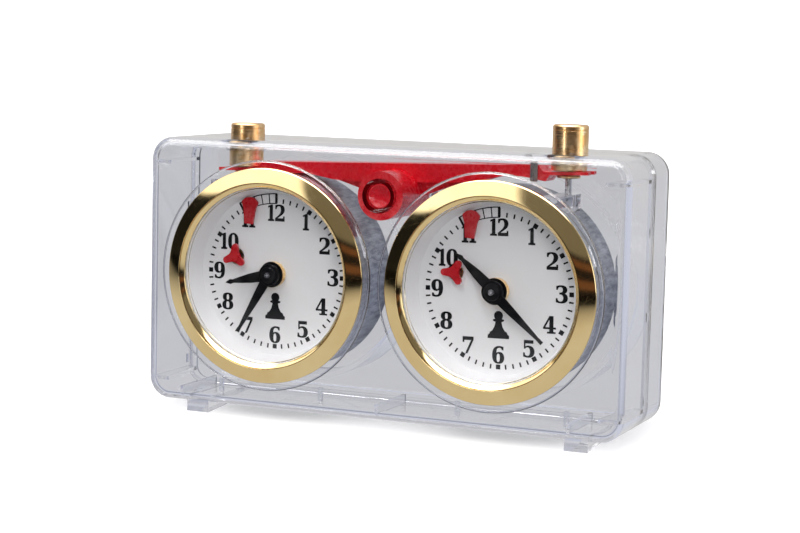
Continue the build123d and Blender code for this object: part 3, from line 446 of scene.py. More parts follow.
# ---------------------------------------------------------------------------
# Digits
# ---------------------------------------------------------------------------
# Slab-serif digits: loops of (x, z) in thousandths of the digit height, z 0 at the foot
DIGIT_LOOPS = {
    "0": [
        [(0, 59), (20, 60), (53, 69), (81, 87), (102, 115), (110, 132), (117, 154), (129, 218),
         (138, 366), (140, 499), (138, 631), (129, 779), (117, 843), (110, 865), (102, 883),
         (81, 911), (53, 929), (20, 938), (0, 940), (-19, 939), (-53, 929), (-80, 911),
         (-102, 884), (-110, 867), (-117, 845), (-128, 781), (-138, 632), (-140, 499),
         (-138, 366), (-128, 218), (-117, 154), (-110, 132), (-102, 115), (-80, 87), (-53, 69),
         (-19, 60)],
        [(0, -20), (-48, -17), (-137, -1), (-213, 33), (-278, 83), (-306, 114), (-331, 149),
         (-371, 231), (-398, 327), (-411, 438), (-413, 499), (-411, 560), (-398, 671),
         (-371, 767), (-331, 849), (-306, 884), (-278, 916), (-213, 966), (-137, 999),
         (-48, 1016), (0, 1018), (49, 1016), (137, 999), (213, 966), (278, 916), (306, 884),
         (331, 849), (371, 767), (398, 671), (411, 560), (413, 499), (411, 438), (398, 327),
         (371, 231), (331, 149), (306, 114), (278, 83), (213, 33), (137, -1), (49, -17)],
    ],
    "2": [
        [(-281, 753), (-361, 753), (-361, 969), (-280, 990), (-199, 1006), (-119, 1015),
         (-38, 1018), (9, 1017), (94, 1007), (168, 988), (232, 958), (260, 940), (285, 920),
         (325, 873), (352, 819), (365, 757), (367, 723), (366, 698), (359, 651), (344, 607),
         (322, 565), (308, 545), (292, 525), (249, 482), (160, 410), (83, 358), (-195, 176),
         (278, 176), (278, 293), (370, 293), (370, 0), (-370, 0), (-370, 164), (-222, 266),
         (-135, 329), (-34, 414), (13, 465), (31, 488), (46, 512), (69, 561), (85, 615),
         (93, 672), (94, 703), (91, 757), (75, 826), (57, 863), (46, 879), (33, 893), (4, 916),
         (-31, 931), (-71, 939), (-94, 940), (-131, 937), (-180, 921), (-208, 903), (-220, 892),
         (-242, 865), (-272, 796)],
    ],
    "3": [
        [(-363, 971), (-276, 992), (-192, 1006), (-110, 1015), (-30, 1018), (14, 1017),
         (94, 1009), (163, 993), (222, 969), (248, 953), (270, 936), (307, 897), (331, 851),
         (343, 797), (345, 768), (344, 746), (337, 705), (323, 669), (302, 636), (289, 622),
         (274, 608), (240, 585), (176, 558), (126, 546), (158, 540), (215, 524), (264, 501),
         (304, 473), (321, 457), (336, 439), (360, 399), (376, 352), (384, 299), (385, 270),
         (384, 236), (370, 174), (342, 120), (300, 75), (274, 55), (245, 38), (177, 10),
         (97, -9), (4, -18), (-47, -20), (-127, -16), (-210, -6), (-296, 11), (-385, 34),
         (-385, 254), (-304, 254), (-298, 209), (-278, 153), (-257, 122), (-245, 109),
         (-231, 97), (-200, 78), (-164, 66), (-123, 60), (-100, 59), (-75, 60), (-30, 67),
         (9, 81), (43, 102), (57, 116), (70, 130), (91, 165), (105, 205), (112, 251), (113, 276),
         (112, 302), (105, 350), (90, 392), (68, 428), (55, 443), (40, 457), (5, 479),
         (-37, 494), (-84, 501), (-110, 502), (-154, 502), (-154, 583), (-119, 583), (-73, 586),
         (-15, 601), (16, 618), (29, 628), (41, 640), (59, 669), (72, 703), (78, 742), (79, 764),
         (76, 804), (61, 855), (43, 883), (32, 894), (20, 905), (-9, 922), (-61, 937),
         (-101, 940), (-139, 937), (-202, 915), (-227, 896), (-248, 872), (-275, 810),
         (-282, 771), (-363, 771)],
    ],
    "4": [
        [(398, 0), (-152, 0), (-152, 81), (-4, 81), (-4, 263), (-421, 263), (-421, 340),
         (-2, 1018), (249, 1018), (249, 350), (421, 350), (421, 263), (249, 263), (249, 81),
         (398, 81)],
        [(-4, 350), (-4, 835), (-302, 350)],
    ],
    "5": [
        [(292, 1000), (292, 825), (-243, 825), (-243, 605), (-220, 621), (-171, 647),
         (-145, 656), (-117, 664), (-60, 673), (-30, 674), (15, 672), (98, 661), (171, 637),
         (234, 602), (262, 580), (287, 556), (327, 501), (354, 437), (367, 365), (369, 326),
         (367, 286), (354, 214), (327, 150), (287, 95), (262, 72), (234, 50), (169, 16),
         (94, -7), (9, -18), (-38, -20), (-120, -16), (-201, -6), (-283, 11), (-369, 36),
         (-369, 254), (-289, 254), (-284, 208), (-267, 150), (-249, 120), (-237, 107),
         (-225, 96), (-196, 78), (-141, 62), (-98, 59), (-74, 60), (-31, 68), (5, 85),
         (36, 109), (48, 125), (59, 143), (77, 184), (93, 263), (96, 326), (93, 389), (78, 466),
         (60, 508), (49, 525), (37, 541), (7, 566), (-28, 582), (-69, 590), (-92, 591),
         (-117, 590), (-162, 580), (-183, 570), (-202, 558), (-239, 526), (-257, 505),
         (-323, 505), (-323, 1000)],
    ],
    "6": [
        [(-146, 593), (-124, 609), (-75, 635), (-49, 645), (-21, 653), (38, 661), (69, 663),
         (106, 661), (175, 650), (235, 627), (287, 594), (310, 573), (330, 549), (363, 496),
         (385, 434), (396, 364), (397, 326), (396, 286), (383, 213), (359, 149), (322, 94),
         (299, 71), (273, 49), (213, 16), (143, -7), (63, -18), (19, -20), (-31, -18),
         (-121, -2), (-199, 29), (-264, 75), (-292, 104), (-316, 137), (-356, 213), (-382, 304),
         (-396, 409), (-397, 467), (-395, 534), (-381, 653), (-351, 756), (-307, 842),
         (-280, 879), (-249, 912), (-176, 964), (-89, 999), (12, 1016), (68, 1018), (130, 1016),
         (197, 1008), (269, 995), (345, 978), (345, 801), (264, 801), (254, 833), (222, 885),
         (201, 904), (176, 920), (116, 937), (80, 940), (52, 938), (0, 928), (-43, 908),
         (-78, 877), (-92, 858), (-105, 836), (-125, 782), (-138, 716), (-145, 637)],
        [(3, 59), (20, 60), (50, 67), (74, 82), (94, 104), (102, 117), (115, 152), (130, 254),
         (131, 321), (130, 388), (115, 489), (102, 524), (94, 538), (74, 560), (50, 575),
         (20, 582), (3, 583), (-13, 582), (-43, 575), (-67, 560), (-87, 538), (-95, 524),
         (-107, 489), (-122, 388), (-124, 321), (-122, 254), (-107, 152), (-95, 117),
         (-87, 104), (-67, 82), (-43, 67), (-13, 60)],
    ],
    "7": [
        [(366, 830), (-47, 0), (-182, 0), (219, 810), (-274, 810), (-274, 675), (-366, 675),
         (-366, 1000), (366, 1000)],
    ],
    "8": [
        [(162, 532), (191, 527), (243, 511), (288, 489), (327, 461), (343, 445), (357, 427),
         (381, 388), (396, 343), (404, 293), (405, 266), (403, 232), (390, 172), (364, 119),
         (325, 74), (301, 54), (273, 37), (210, 9), (135, -9), (48, -18), (0, -20), (-47, -18),
         (-134, -9), (-209, 9), (-273, 37), (-300, 54), (-325, 74), (-364, 119), (-390, 172),
         (-403, 232), (-405, 266), (-404, 293), (-396, 343), (-381, 388), (-357, 427),
         (-343, 445), (-326, 461), (-288, 489), (-243, 511), (-190, 527), (-162, 532),
         (-211, 547), (-272, 575), (-305, 600), (-319, 613), (-331, 628), (-351, 660),
         (-364, 696), (-370, 736), (-371, 757), (-370, 788), (-358, 844), (-334, 892),
         (-299, 933), (-276, 951), (-251, 967), (-193, 992), (-124, 1009), (-44, 1017),
         (0, 1018), (44, 1017), (124, 1009), (193, 992), (252, 967), (277, 951), (299, 933),
         (335, 892), (359, 844), (371, 788), (372, 757), (371, 736), (365, 696), (352, 660),
         (332, 628), (320, 613), (306, 600), (273, 575), (211, 547)],
        [(113, 754), (111, 803), (99, 876), (87, 900), (72, 917), (29, 937), (0, 940),
         (-28, 937), (-72, 917), (-87, 900), (-98, 876), (-111, 803), (-112, 754), (-111, 706),
         (-98, 634), (-87, 610), (-72, 593), (-28, 573), (0, 571), (29, 573), (73, 593),
         (88, 610), (99, 634), (111, 706)],
        [(139, 277), (137, 334), (127, 401), (115, 433), (108, 446), (99, 457), (78, 474),
         (36, 489), (0, 492), (-35, 489), (-78, 474), (-99, 457), (-107, 446), (-121, 418),
         (-136, 334), (-138, 277), (-136, 220), (-121, 135), (-107, 106), (-99, 95), (-77, 77),
         (-35, 62), (0, 59), (35, 62), (78, 77), (99, 95), (108, 106), (115, 119), (127, 152),
         (137, 220)],
    ],
    "9": [
        [(-4, 940), (-20, 939), (-50, 931), (-74, 917), (-94, 895), (-102, 881), (-115, 846),
         (-129, 745), (-131, 678), (-129, 611), (-115, 509), (-102, 475), (-94, 461),
         (-74, 439), (-50, 424), (-20, 417), (-4, 416), (13, 417), (42, 424), (67, 439),
         (87, 461), (95, 475), (108, 509), (122, 611), (124, 678), (122, 745), (108, 846),
         (95, 881), (87, 895), (67, 917), (42, 931), (13, 939)],
        [(146, 407), (123, 391), (74, 364), (47, 354), (20, 346), (-38, 337), (-69, 336),
         (-106, 338), (-175, 349), (-235, 371), (-287, 405), (-309, 426), (-330, 449),
         (-363, 502), (-385, 564), (-395, 634), (-397, 673), (-395, 713), (-383, 786),
         (-359, 850), (-322, 905), (-299, 928), (-273, 949), (-214, 983), (-144, 1005),
         (-64, 1017), (-20, 1018), (30, 1016), (120, 1001), (198, 970), (263, 923), (291, 894),
         (316, 861), (355, 785), (382, 694), (395, 589), (397, 531), (395, 465), (380, 345),
         (351, 242), (307, 156), (280, 119), (249, 87), (176, 35), (89, 0), (-12, -17),
         (-68, -20), (-130, -17), (-197, -9), (-269, 3), (-345, 21), (-345, 198), (-264, 198),
         (-254, 166), (-222, 114), (-201, 94), (-176, 79), (-115, 61), (-80, 59), (-52, 60),
         (-1, 70), (42, 91), (77, 122), (91, 141), (104, 163), (124, 217), (138, 283),
         (145, 363)],
    ],
    "1": [
        [(-200, 0), (200, 0), (200, 85), (100, 105), (100, 1000), (20, 1000), (-200, 900),
         (-200, 820), (-90, 860), (-90, 105), (-200, 85)],
    ],
}
DIGIT_HEIGHT = 5.75  # mm
STROKE_GROWTH = 0.017  # the rest are parts of the digit height
DIGIT_GAP = 0.055


def area_of(loop):
    return 0.5 * sum(a[0] * b[1] - b[0] * a[1] for a, b in zip(loop, loop[1:] + loop[:1]))


def crossing(start, end, other_start, other_end):
    """Point where two segments cross, or None."""
    run_x, run_z = end[0] - start[0], end[1] - start[1]
    other_x, other_z = other_end[0] - other_start[0], other_end[1] - other_start[1]
    gap_x, gap_z = other_start[0] - start[0], other_start[1] - start[1]
    cross = run_x * other_z - run_z * other_x
    if abs(cross) < 1e-12:
        return None
    along = (gap_x * other_z - gap_z * other_x) / cross
    other_along = (gap_x * run_z - gap_z * run_x) / cross
    if 0 < along < 1 and 0 < other_along < 1:
        return (start[0] + along * run_x, start[1] + along * run_z)
    return None


def find_curl(loop):
    """First edge that crosses one 2 to 15 edges ahead: (edge, edges ahead, point), or None."""
    count = len(loop)
    for i in range(count):
        for ahead in range(2, 16):
            j = (i + ahead) % count
            point = crossing(loop[i], loop[(i + 1) % count], loop[j], loop[(j + 1) % count])
            if point:
                return i, ahead, point
    return None


def untangle(loop):
    """Cuts off the tiny curls that form in a tight inner corner."""
    for _ in range(12):
        curl = find_curl(loop)
        if not curl:
            break
        i, ahead, point = curl
        turned = loop[i + 1:] + loop[:i + 1]
        loop = [point] + turned[ahead:]
    return loop


def fatten(loops, distance):
    """Moves a digit's outline out and its counters in, so the strokes grow."""
    outline = max(range(len(loops)), key=lambda i: abs(area_of(loops[i])))
    grown = []
    for i, loop in enumerate(loops):
        points = [Vector(p) for p in loop]
        points = [p for p, q in zip(points, points[1:] + points[:1]) if (p - q).length > 1e-5]
        way = (1.0 if area_of(loop) > 0 else -1.0) * (1.0 if i == outline else -1.0)
        moved = []
        for j, point in enumerate(points):
            before = (point - points[j - 1]).normalized()
            after = (points[(j + 1) % len(points)] - point).normalized()
            normal_before = Vector((before.y, -before.x))
            normal = normal_before + Vector((after.y, -after.x))
            if normal.length < 0.3:
                normal = normal_before
            normal = normal.normalized()
            # a mitre lengthens the step, but only up to a limit
            mitre = min(1.25, 1.0 / max(0.4, normal.dot(normal_before)))
            shifted = point + normal * (distance * mitre * way)
            moved.append((shifted.x, shifted.y))
        grown.append(untangle(moved))
    return grown


BOLD = {digit: fatten([[(x / 1000, z / 1000) for x, z in loop] for loop in loops], STROKE_GROWTH)
        for digit, loops in DIGIT_LOOPS.items()}


def numeral(text, centre_x, centre_z):
    """Loops of an upright number about a centre. Digits other than 1 are drawn narrower."""
    cells, total = [], 0.0
    for digit in text:
        xs = [x for loop in BOLD[digit] for x, _ in loop]
        squeeze = 1.0 if digit == "1" else (0.86 if len(text) > 1 else 0.92)
        width = (max(xs) - min(xs)) * squeeze
        cells.append((BOLD[digit], (max(xs) + min(xs)) / 2 * squeeze, squeeze, width))
        total += width
    total += DIGIT_GAP * (len(text) - 1)
    loops, left = [], -total / 2
    for digit_loops, middle, squeeze, width in cells:
        for loop in digit_loops:
            loops.append([(centre_x + DIGIT_HEIGHT * (x * squeeze - middle + left + width / 2),
                           centre_z + DIGIT_HEIGHT * (z - 0.5)) for x, z in loop])
        left += width + DIGIT_GAP
    return loops


# ---------------------------------------------------------------------------
# Dial print
# ---------------------------------------------------------------------------
# the print sits a little off true on each plate: x and z shift in mm, degrees anticlockwise
PRINT_OFFSET = {"left": (0.35, 0.0, 0.3), "right": (0.6, -0.1, 1.3)}
# inner radius, outer radius and half width of the ticks
HOUR_TICK = (25.25, 26.9, 0.8)
MINUTE_TICK = (25.3, 26.95, 0.29)
# five-minute scale of the flag, from 11 to 12
SCALE_ANGLES = (-31.2, 0.6)
SCALE_OUTER = (28.45, 28.85)
SCALE_INNER = (25.0, 25.36)
SCALE_BAR = (SCALE_INNER[1], 28.5)
# radius of the numeral centres
NUMERAL_RADIUS = 22.1
NUMERAL_RADII = {3: 22.6, 9: 22.6, 12: 21.8, 6: 21.9, 10: 21.4, 11: 22.0, 4: 21.2}
ONE_SHIFT = 0.7  # the 1 stands this far to the right

EMBLEM_DROP = 11.7  # below the dial axis
EMBLEM_SCALE = 1.15
# right half of the pawn up to its head, (x, z) before scaling
PAWN_HALF = [(3.4, -4.0), (3.4, -3.0), (2.75, -2.55), (2.75, -2.05), (2.0, -1.7), (1.25, -0.4),
             (0.95, 0.95), (1.75, 1.25), (1.75, 1.7), (1.05, 1.9)]
HEAD_Z, HEAD_RADIUS = 2.85, 1.42
HEAD_START, HEAD_END, HEAD_STEPS = -38, 90, 9


def shift_print(mesh, side):
    shift_x, shift_z, turn = PRINT_OFFSET[side]
    axis = Vector((SIDES[side], 0.0, DIAL_Z))
    matrix = (Matrix.Translation(axis + Vector((shift_x, 0.0, shift_z)))
              @ Matrix.Rotation(math.radians(-turn), 4, "Y") @ Matrix.Translation(-axis))
    bmesh.ops.transform(mesh, matrix=matrix, verts=mesh.verts)


def dial_print(side, dial_x):
    """Ticks, flag scale and numerals."""
    ticks = [radial_bar(i * 6, *(MINUTE_TICK if i % 5 else HOUR_TICK)) for i in range(1, 55)]
    ends = [radial_bar(SCALE_ANGLES[0] + 0.55, *SCALE_BAR, 0.4),
            radial_bar(-0.1, *SCALE_BAR, 0.5)]
    numerals = []
    for hour in range(1, 13):
        x, z = clock_dir(hour * 30)
        radius = NUMERAL_RADII.get(hour, NUMERAL_RADIUS)
        shift = ONE_SHIFT if hour == 1 else 0.0
        numerals += numeral(str(hour), radius * x + shift, radius * z)
    mesh = bmesh.new()
    for loops in (
        ticks,
        [band(*SCALE_OUTER, *SCALE_ANGLES)],
        [band(*SCALE_INNER, *SCALE_ANGLES)],
        [radial_bar(angle, *SCALE_BAR, 0.2) for angle in (-24.6, -18.4, -12.2, -6.0)],
        ends,
        numerals,
    ):
        add_ink(mesh, loops, dial_x, DIAL_Z)
    bmesh.ops.remove_doubles(mesh, verts=mesh.verts, dist=1e-5)
    shift_print(mesh, side)
    to_object("dial_print_" + side, mesh, INK)


def dial_emblem(side, dial_x):
    """A pawn below the dial axis."""
    angles = [math.radians(HEAD_START + (HEAD_END - HEAD_START) * i / HEAD_STEPS)
              for i in range(HEAD_STEPS + 1)]
    half = PAWN_HALF + [(HEAD_RADIUS * math.cos(a), HEAD_Z + HEAD_RADIUS * math.sin(a))
                        for a in angles]
    outline = half + [(-x, z) for x, z in half[::-1][1:]]
    mesh = bmesh.new()
    scaled = [(EMBLEM_SCALE * x, EMBLEM_SCALE * z) for x, z in outline]
    add_ink(mesh, [scaled], dial_x, DIAL_Z - EMBLEM_DROP)
    shift_print(mesh, side)
    to_object("dial_emblem_" + side, mesh, INK)


for side, dial_x in SIDES.items():
    dial_print(side, dial_x)
    dial_emblem(side, dial_x)

# ---------------------------------------------------------------------------
# Bezels, ring edges and lenses. Profiles are (radius, y); a lower y is nearer the front.
# ---------------------------------------------------------------------------
BEZEL_RIM = [(38.2, -0.8), (38.2, -1.0), (38.19, -1.12), (38.14, -1.26), (38.05, -1.39),
             (37.93, -1.49), (37.78, -1.58)]
# the crown runs inward and forward from here, flattening as it goes
CROWN_START = (37.6, -1.66)
CROWN_POINTS, CROWN_STEP = 44, 0.1045
CROWN_TILT, CROWN_FLATTENING = 25.5, 7.5  # degrees
BEZEL_GROOVE = [(32.88, -3.12), (32.84, -2.98), (32.78, -2.97), (32.73, -3.08), (32.69, -3.14),
                (32.62, -3.15)]
# the inner slope runs inward and back
SLOPE_OUTER, SLOPE_INNER = 32.58, 31.44
SLOPE_FRONT_Y, SLOPE_DEPTH, SLOPE_POWER = -3.12, 1.0, 1.12
BEZEL_BACK = [(31.38, -2.05), (31.35, -1.96), (31.35, -1.2), (32.63, -1.2), (32.63, 2.2),
              (33.45, 2.2), (33.45, -0.8)]
BEAD_RING, BEAD_Y, BEAD_RADIUS = 40.56, -0.56, 0.36
LENS_PROFILE = [(0.0, -1.19), (32.3, -1.19), (32.58, -0.95), (32.58, 0.95), (31.1, 0.95),
                (30.85, 0.7), (30.75, 0.25), (0.0, 0.25)]


def bezel_profile():
    crown = []
    radius, y = CROWN_START
    for i in range(CROWN_POINTS):
        crown.append((radius, y))
        tilt = CROWN_TILT - CROWN_FLATTENING * i / (CROWN_POINTS - 1)
        radius -= CROWN_STEP
        y -= CROWN_STEP * math.tan(math.radians(tilt))
    crown += [(32.97, y + 0.01), (32.93, y + 0.07)]
    slope = [(SLOPE_OUTER + (SLOPE_INNER - SLOPE_OUTER) * i / 10,
              SLOPE_FRONT_Y + SLOPE_DEPTH * (i / 10) ** SLOPE_POWER) for i in range(11)]
    return BEZEL_RIM + crown + BEZEL_GROOVE + slope + BEZEL_BACK


def bead_profile():
    angles = [math.radians(degrees) for degrees in range(0, 360, 30)]
    return [(BEAD_RING + BEAD_RADIUS * math.cos(a), BEAD_Y + BEAD_RADIUS * math.sin(a))
            for a in angles]


for side, dial_x in SIDES.items():
    bezel = to_object("bezel_turned_" + side, lathe(bezel_profile(), dial_x, segments=256),
                      GOLD[side], crease=50.0)
    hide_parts("bezel_" + side)

    # the moulded ring edge round each bezel is a soft bead
    ring = to_object("ring_edge_" + side, lathe(bead_profile(), dial_x, segments=256),
                     CLEAR, crease=80.0)

    lens = to_object("lens_clear_" + side, lathe(LENS_PROFILE, dial_x, segments=160), LENS)
    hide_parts("lens_" + side)

# ---------------------------------------------------------------------------
# Finishes of the CAD nodes
# ---------------------------------------------------------------------------
# by node name without its side
FINISH = {
    "front_shell": CLEAR, "rear_cover": CLEAR_REAR, "movement_screws": STEEL,
    "rocker_leaf_spring": SPRING, "plate_nuts": STEEL, "rocker": RED, "front_plate": PLATE,
    "back_plate": PLATE, "hairspring": SPRING, "brake_wire": SPRING, "centre_arbor": STEEL,
    "minute_hand": BLACK, "setting_knob": KNOB, "hour_wheel": WHEEL, "minute_wheel": WHEEL,
    "third_wheel": WHEEL, "centre_wheel": WHEEL, "mainspring_barrel": WHEEL,
    "mainspring": SPRING, "escape_wheel": STEEL, "going_indicator": RED_SMALL,
    "barrel_arbor": STEEL, "winding_key": KNOB, "click": STEEL, "pallet_lever": STEEL,
    "balance_wheel": WHEEL, "dial": DIAL_WHITE, "lens": LENS,
}
# plungers are brass above and steel below; the left one sits lower
PLUNGER_LEVEL = 104.6 - 15.6
PLUNGER_DROP = {"left": 4.2, "right": 0.0}
STEEL_BELOW = 2.6
HAND_COLLET_Y = 5.4  # the hour hand is brass behind this
FLAG_STEEL_Y = 7.6  # the flag is steel behind this


def paint(obj, materials, is_second=lambda centre: False):
    """Gives each face the first material, or the second where its body-frame centre says so."""
    to_body = PLACE.inverted()
    obj.data.materials.clear()
    for material in materials:
        obj.data.materials.append(material)
    for face in obj.data.polygons:
        face.material_index = int(is_second(to_body @ face.center))


for name, obj in NODES.items():
    base, _, tail = name.rpartition("_")
    side = tail if tail in SIDES else None
    key = base if side else name
    if key == "bezel":
        paint(obj, [GOLD[side]])
    elif key == "can":
        paint(obj, [CAN[side]])
    elif key == "plunger":
        steel_top = PLUNGER_LEVEL - PLUNGER_DROP[side] - STEEL_BELOW
        paint(obj, [BRASS[side], STEEL], lambda centre: centre.z < steel_top)
    elif key == "hour_hand":
        paint(obj, [BLACK, COLLET], lambda centre: centre.y > HAND_COLLET_Y)
    elif key == "flag":
        paint(obj, [RED_SMALL, STEEL], lambda centre: centre.y > FLAG_STEEL_Y)
    else:
        paint(obj, [FINISH[key]])

for name in ("front_shell", "rear_cover"):
    bevel = NODES[name].modifiers.new("soft_edges", "BEVEL")
    bevel.width = 0.00022
    bevel.segments = 2
    bevel.limit_method = "ANGLE"
    bevel.angle_limit = math.radians(38)
    bevel.harden_normals = True

# ---------------------------------------------------------------------------
# Floor
# ---------------------------------------------------------------------------
# glow of the floor as seen directly, straight through clear plastic, and mirrored in metal
FLOOR_GLOW, THROUGH, MIRRORED = 0.32, 0.69, 0.68
# section of the sweep in metres: flat, then a quarter turn up to a wall
SWEEP_START, SWEEP_RADIUS, WALL_TOP = 1.2, 0.8, 3.2
FLOOR_XS = (-3.6, -1.2, 0.0, 1.2, 3.6)
FLOOR_YS = (-2.0, -0.6, 0.0, 0.6, SWEEP_START)
FLOOR_DROP = 0.0002


def floor_material():
    """Pale sweep. Seen directly it is near white; through clear plastic and in polished metal it
    is a softer grey that falls away with distance towards the front."""
    mat = Material("pale_floor")
    grain = mat.noise(scale=60.0)
    fine = mat.noise(scale=900.0, detail=2.0)
    colour = mat.mix(mat.rise(grain), (0.86, 0.86, 0.86), (0.88, 0.88, 0.88))
    base = mat.principled(colour, mat.spread(fine, to=(0.75, 0.85)),
                          mat.bump(fine, strength=0.04, distance=0.0001),
                          {"Specular IOR Level": 0.1})
    path = mat.node("LightPath")
    distance = mat.node("VectorMath", {0: mat.where}, operation="LENGTH").outputs["Value"]
    y = mat.node("SeparateXYZ", {0: mat.where}).outputs["Y"]
    near_or_behind = mat.highest(mat.fall(distance, over=(0.22, 0.6)),
                                 mat.rise(y, over=(-0.25, 0.15)))

    far = mat.highest(mat.spread(y, to=(0.0, 0.75), over=(0.15, 0.9)),
                      mat.spread(distance, to=(0.0, 0.75), over=(0.35, 1.0)))
    white = mat.glow((1.0, 1.0, 1.0), mat.add(far, FLOOR_GLOW))
    seen = mat.make("AddShader", {0: base, 1: white})

    # how far the line of sight was bent on its way here, from the camera's own view of this point
    geometry = mat.node("NewGeometry")
    seen_from = mat.make("VectorMath", {0: mat.coord.outputs["Camera"]}, operation="NORMALIZE")
    came_from = mat.make("VectorTransform", {0: geometry.outputs["Incoming"]},
                         vector_type="VECTOR", convert_from="WORLD", convert_to="CAMERA")
    dot = mat.node("VectorMath", {0: seen_from, 1: came_from}, operation="DOT_PRODUCT")
    straightness = mat.multiply(dot.outputs["Value"], by=-1.0)
    bent = mat.fall(straightness, over=(0.93, 0.985))
    strayed = mat.fall(straightness, over=(0.50, 0.80))
    through = mat.mix_shader(
        bent, mat.glow((0.985, 0.98, 1.0), THROUGH),
        mat.glow((0.87, 0.90, 1.05), mat.multiply(near_or_behind, by=0.72)))
    through = mat.mix_shader(
        strayed, through,
        mat.glow((0.82, 0.86, 1.02), mat.multiply(near_or_behind, by=0.36)))
    mirrored = mat.glow((1.0, 0.98, 0.95), mat.multiply(near_or_behind, by=MIRRORED))
    soft = mat.glow((1.0, 1.0, 1.0), 0.45)

    shader = mat.mix_shader(path.outputs["Is Glossy Ray"], soft, mirrored)
    shader = mat.mix_shader(mat.is_inside(path), shader, through)
    return mat.done(mat.mix_shader(path.outputs["Is Camera Ray"], shader, seen))


def make_floor():
    turns = [math.radians(degrees) for degrees in range(10, 91, 10)]
    section = [(y, 0.0) for y in FLOOR_YS]
    section += [(SWEEP_START + SWEEP_RADIUS * math.sin(a),
                 SWEEP_RADIUS - SWEEP_RADIUS * math.cos(a)) for a in turns]
    section.append((SWEEP_START + SWEEP_RADIUS, WALL_TOP))
    mesh = bmesh.new()
    rows = [[mesh.verts.new((x, y, z)) for x in FLOOR_XS] for y, z in section]
    for here, there in zip(rows, rows[1:]):
        for i in range(len(FLOOR_XS) - 1):
            mesh.faces.new((here[i], here[i + 1], there[i + 1], there[i]))
    data = bpy.data.meshes.new("floor")
    bmesh.ops.recalc_face_normals(mesh, faces=mesh.faces)
    mesh.to_mesh(data)
    mesh.free()
    data.polygons.foreach_set("use_smooth", [True] * len(data.polygons))
    data.materials.append(floor_material())
    floor = bpy.data.objects.new("floor", data)
    floor.location = (0.0, 0.0, -FLOOR_DROP)
    SCENE.collection.objects.link(floor)


make_floor()

# ---------------------------------------------------------------------------
# Lights, in metres and watts
# ---------------------------------------------------------------------------
LIGHT_AIM = Vector((0.0, 0.0, 0.05))


def area_light(name, place, width, height, power, colour, glossy=False):
    light = bpy.data.lights.new(name, "AREA")
    light.shape = "RECTANGLE"
    light.size, light.size_y = width, height
    light.energy = power
    light.color = colour
    obj = bpy.data.objects.new(name, light)
    SCENE.collection.objects.link(obj)
    obj.location = place
    obj.rotation_mode = "QUATERNION"
    obj.rotation_quaternion = (LIGHT_AIM - Vector(place)).to_track_quat("-Z", "Y")
    obj.visible_glossy = glossy
    return obj


area_light("key_top", place=(-0.05, -0.35, 1.10), width=1.1, height=1.0, power=13.0,
           colour=(1.0, 0.99, 0.97))
area_light("front_fill", place=(0.75, -1.25, 0.55), width=0.7, height=0.6, power=6.8,
           colour=(0.98, 0.99, 1.0))

# two strips light the plungers alone
brass_only = bpy.data.collections.new("brass_only")
for side in SIDES:
    brass_only.objects.link(NODES["plunger_" + side])
for name, place, width, power in (("strip_front", (-0.32, -0.92, 0.10), 0.10, 2.2),
                                  ("strip_side", (0.95, 0.02, 0.10), 0.14, 2.6)):
    strip = area_light(name, place, width, height=0.7, power=power, colour=(1.0, 0.95, 0.88),
                       glossy=True)
    strip.light_linking.receiver_collection = brass_only

# ---------------------------------------------------------------------------
# World: a studio seen in reflections, a sky seen through clear plastic, white to the camera
# ---------------------------------------------------------------------------
# (position, r, g, b), position 0 straight down and 1 straight up
STUDIO_STOPS = [(position, grey, grey, grey) for position, grey in (
    (0.0, 0.3), (0.40, 0.22), (0.49, 0.012), (0.68, 0.012), (0.72, 0.18), (0.80, 0.20),
    (0.88, 0.8), (1.0, 1.0))]
SKY_STOPS = [
    (0.0, 0.42, 0.42, 0.44),
    *((position, grey * 0.97, grey * 0.985, grey * 1.07) for position, grey in (
        (0.45, 0.34), (0.56, 0.30), (0.70, 0.55), (0.80, 1.0))),
    (1.0, 1.1, 1.1, 1.12),
]


def gradient(graph, z, stops):
    node = graph.node("ValToRGB", {0: graph.rise(z, over=(-1.0, 1.0))})
    elements = node.color_ramp.elements
    for element, (position, *colour) in ((elements[0], stops[0]), (elements[1], stops[-1])):
        element.position = position
        element.color = (*colour, 1)
    for position, *colour in stops[1:-1]:
        elements.new(position).color = (*colour, 1)
    return node.outputs[0]


def lobe(graph, direction, over):
    """1 towards a direction, falling to 0. over holds two cosines."""
    dot = graph.node("VectorMath", {0: graph.where, 1: Vector(direction).normalized()},
                     operation="DOT_PRODUCT")
    return graph.rise(dot.outputs["Value"], over)


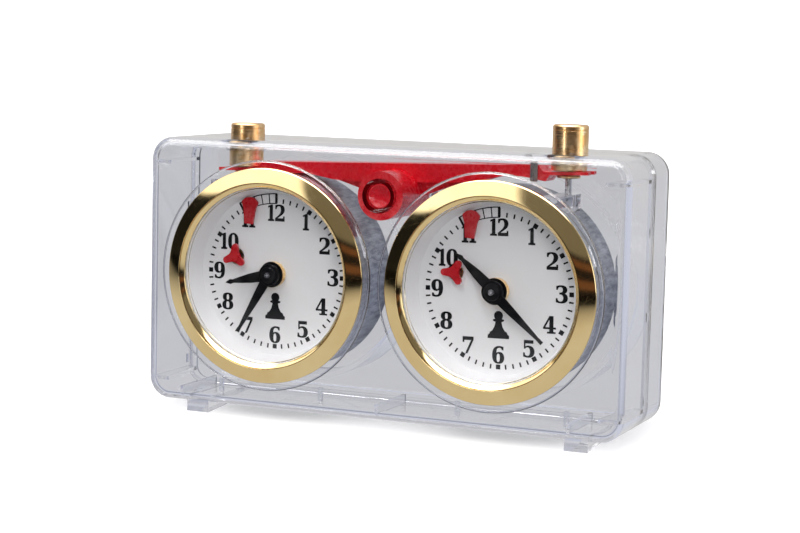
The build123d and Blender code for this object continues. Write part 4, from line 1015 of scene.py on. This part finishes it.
def studio(graph, x, y, z):
    """Dark in front of the clock, a broad soft box above left and a pale wall behind."""
    colour = gradient(graph, z, STUDIO_STOPS)
    front = lobe(graph, (-0.39, -0.92, 0.0), over=(0.86, 0.95))
    box = graph.multiply(graph.fall(x, over=(-0.17, -0.10)), by=graph.rise(z, over=(0.36, 0.40)))
    colour = graph.mix(front, colour, (0.008, 0.008, 0.010))
    upper_right = graph.multiply(graph.rise(x, over=(-0.15, -0.05)),
                                 by=graph.rise(z, over=(0.24, 0.28)))
    colour = graph.mix(upper_right, colour, (0.20, 0.19, 0.17))
    # two low warm bands on the right
    for bottom, top in ((0.17, 0.21), (0.02, 0.07)):
        level = graph.multiply(graph.rise(z, over=(bottom - 0.015, bottom)),
                               by=graph.fall(z, over=(top, top + 0.015)))
        right = graph.spread(x, to=(0.0, 0.9), over=(0.1, 0.2))
        colour = graph.mix(graph.multiply(level, by=right), colour, (0.19, 0.085, 0.042))
    colour = graph.mix(box, colour, (1.75, 1.74, 1.72))
    # overhead, behind, and a patch at the far right
    colour = graph.mix(graph.rise(z, over=(0.76, 0.84)), colour, (8.0, 7.9, 7.9))
    colour = graph.mix(graph.rise(y, over=(0.05, 0.3)), colour, (0.85, 0.86, 0.88))
    patch = lobe(graph, (0.97, -0.12, 0.14), over=(0.93, 0.97))
    return graph.mix(patch, colour, (2.2, 2.2, 2.2))


def make_world():
    world = bpy.data.worlds.new("studio")
    world.use_nodes = True
    SCENE.world = world
    graph = Graph(world.node_tree, "OutputWorld", "Generated")
    x, y, z = graph.node("SeparateXYZ", {0: graph.where}).outputs
    mirror = studio(graph, x, y, z)
    path = graph.node("LightPath")
    colour = graph.mix(path.outputs["Is Glossy Ray"], (0.34, 0.34, 0.35), mirror)
    from_behind = graph.rise(y, over=(-0.45, -0.05))
    sky = gradient(graph, z, SKY_STOPS)
    colour = graph.mix(graph.is_inside(path), colour, graph.mix(from_behind, mirror, sky))
    colour = graph.mix(path.outputs["Is Camera Ray"], colour, (1.0, 1.0, 1.0))
    graph.end(graph.make("Background", {"Color": colour, "Strength": 1.0}))


make_world()

# ---------------------------------------------------------------------------
# Camera and render settings
# ---------------------------------------------------------------------------
CAMERA_PLACE = (277.4, -627.368, 131.708)  # body frame, mm
AZIMUTH, ELEVATION, ROLL = (math.radians(degrees) for degrees in (23.1277, 6.4453, 1.3926))


def make_camera():
    data = bpy.data.cameras.new("camera")
    data.sensor_width = 36.0
    data.lens = 90.085
    data.clip_start, data.clip_end = 0.02, 20.0
    camera = bpy.data.objects.new("camera", data)
    SCENE.collection.objects.link(camera)
    back = Vector((math.sin(AZIMUTH) * math.cos(ELEVATION),
                   -math.cos(AZIMUTH) * math.cos(ELEVATION), math.sin(ELEVATION)))
    level = Vector((math.cos(AZIMUTH), math.sin(AZIMUTH), 0.0))
    upright = back.cross(level)
    right = math.cos(ROLL) * level + math.sin(ROLL) * upright
    up = -math.sin(ROLL) * level + math.cos(ROLL) * upright
    turn = Matrix((right, up, back)).transposed().to_4x4()
    camera.matrix_world = (Matrix.Translation(PLACE @ Vector(CAMERA_PLACE))
                           @ LEAN_BACK @ turn)
    SCENE.camera = camera


make_camera()

SCENE.view_settings.view_transform = "Standard"
SCENE.cycles.transparent_max_bounces = 32
SCENE.cycles.transmission_bounces = 16
SCENE.cycles.max_bounces = 16
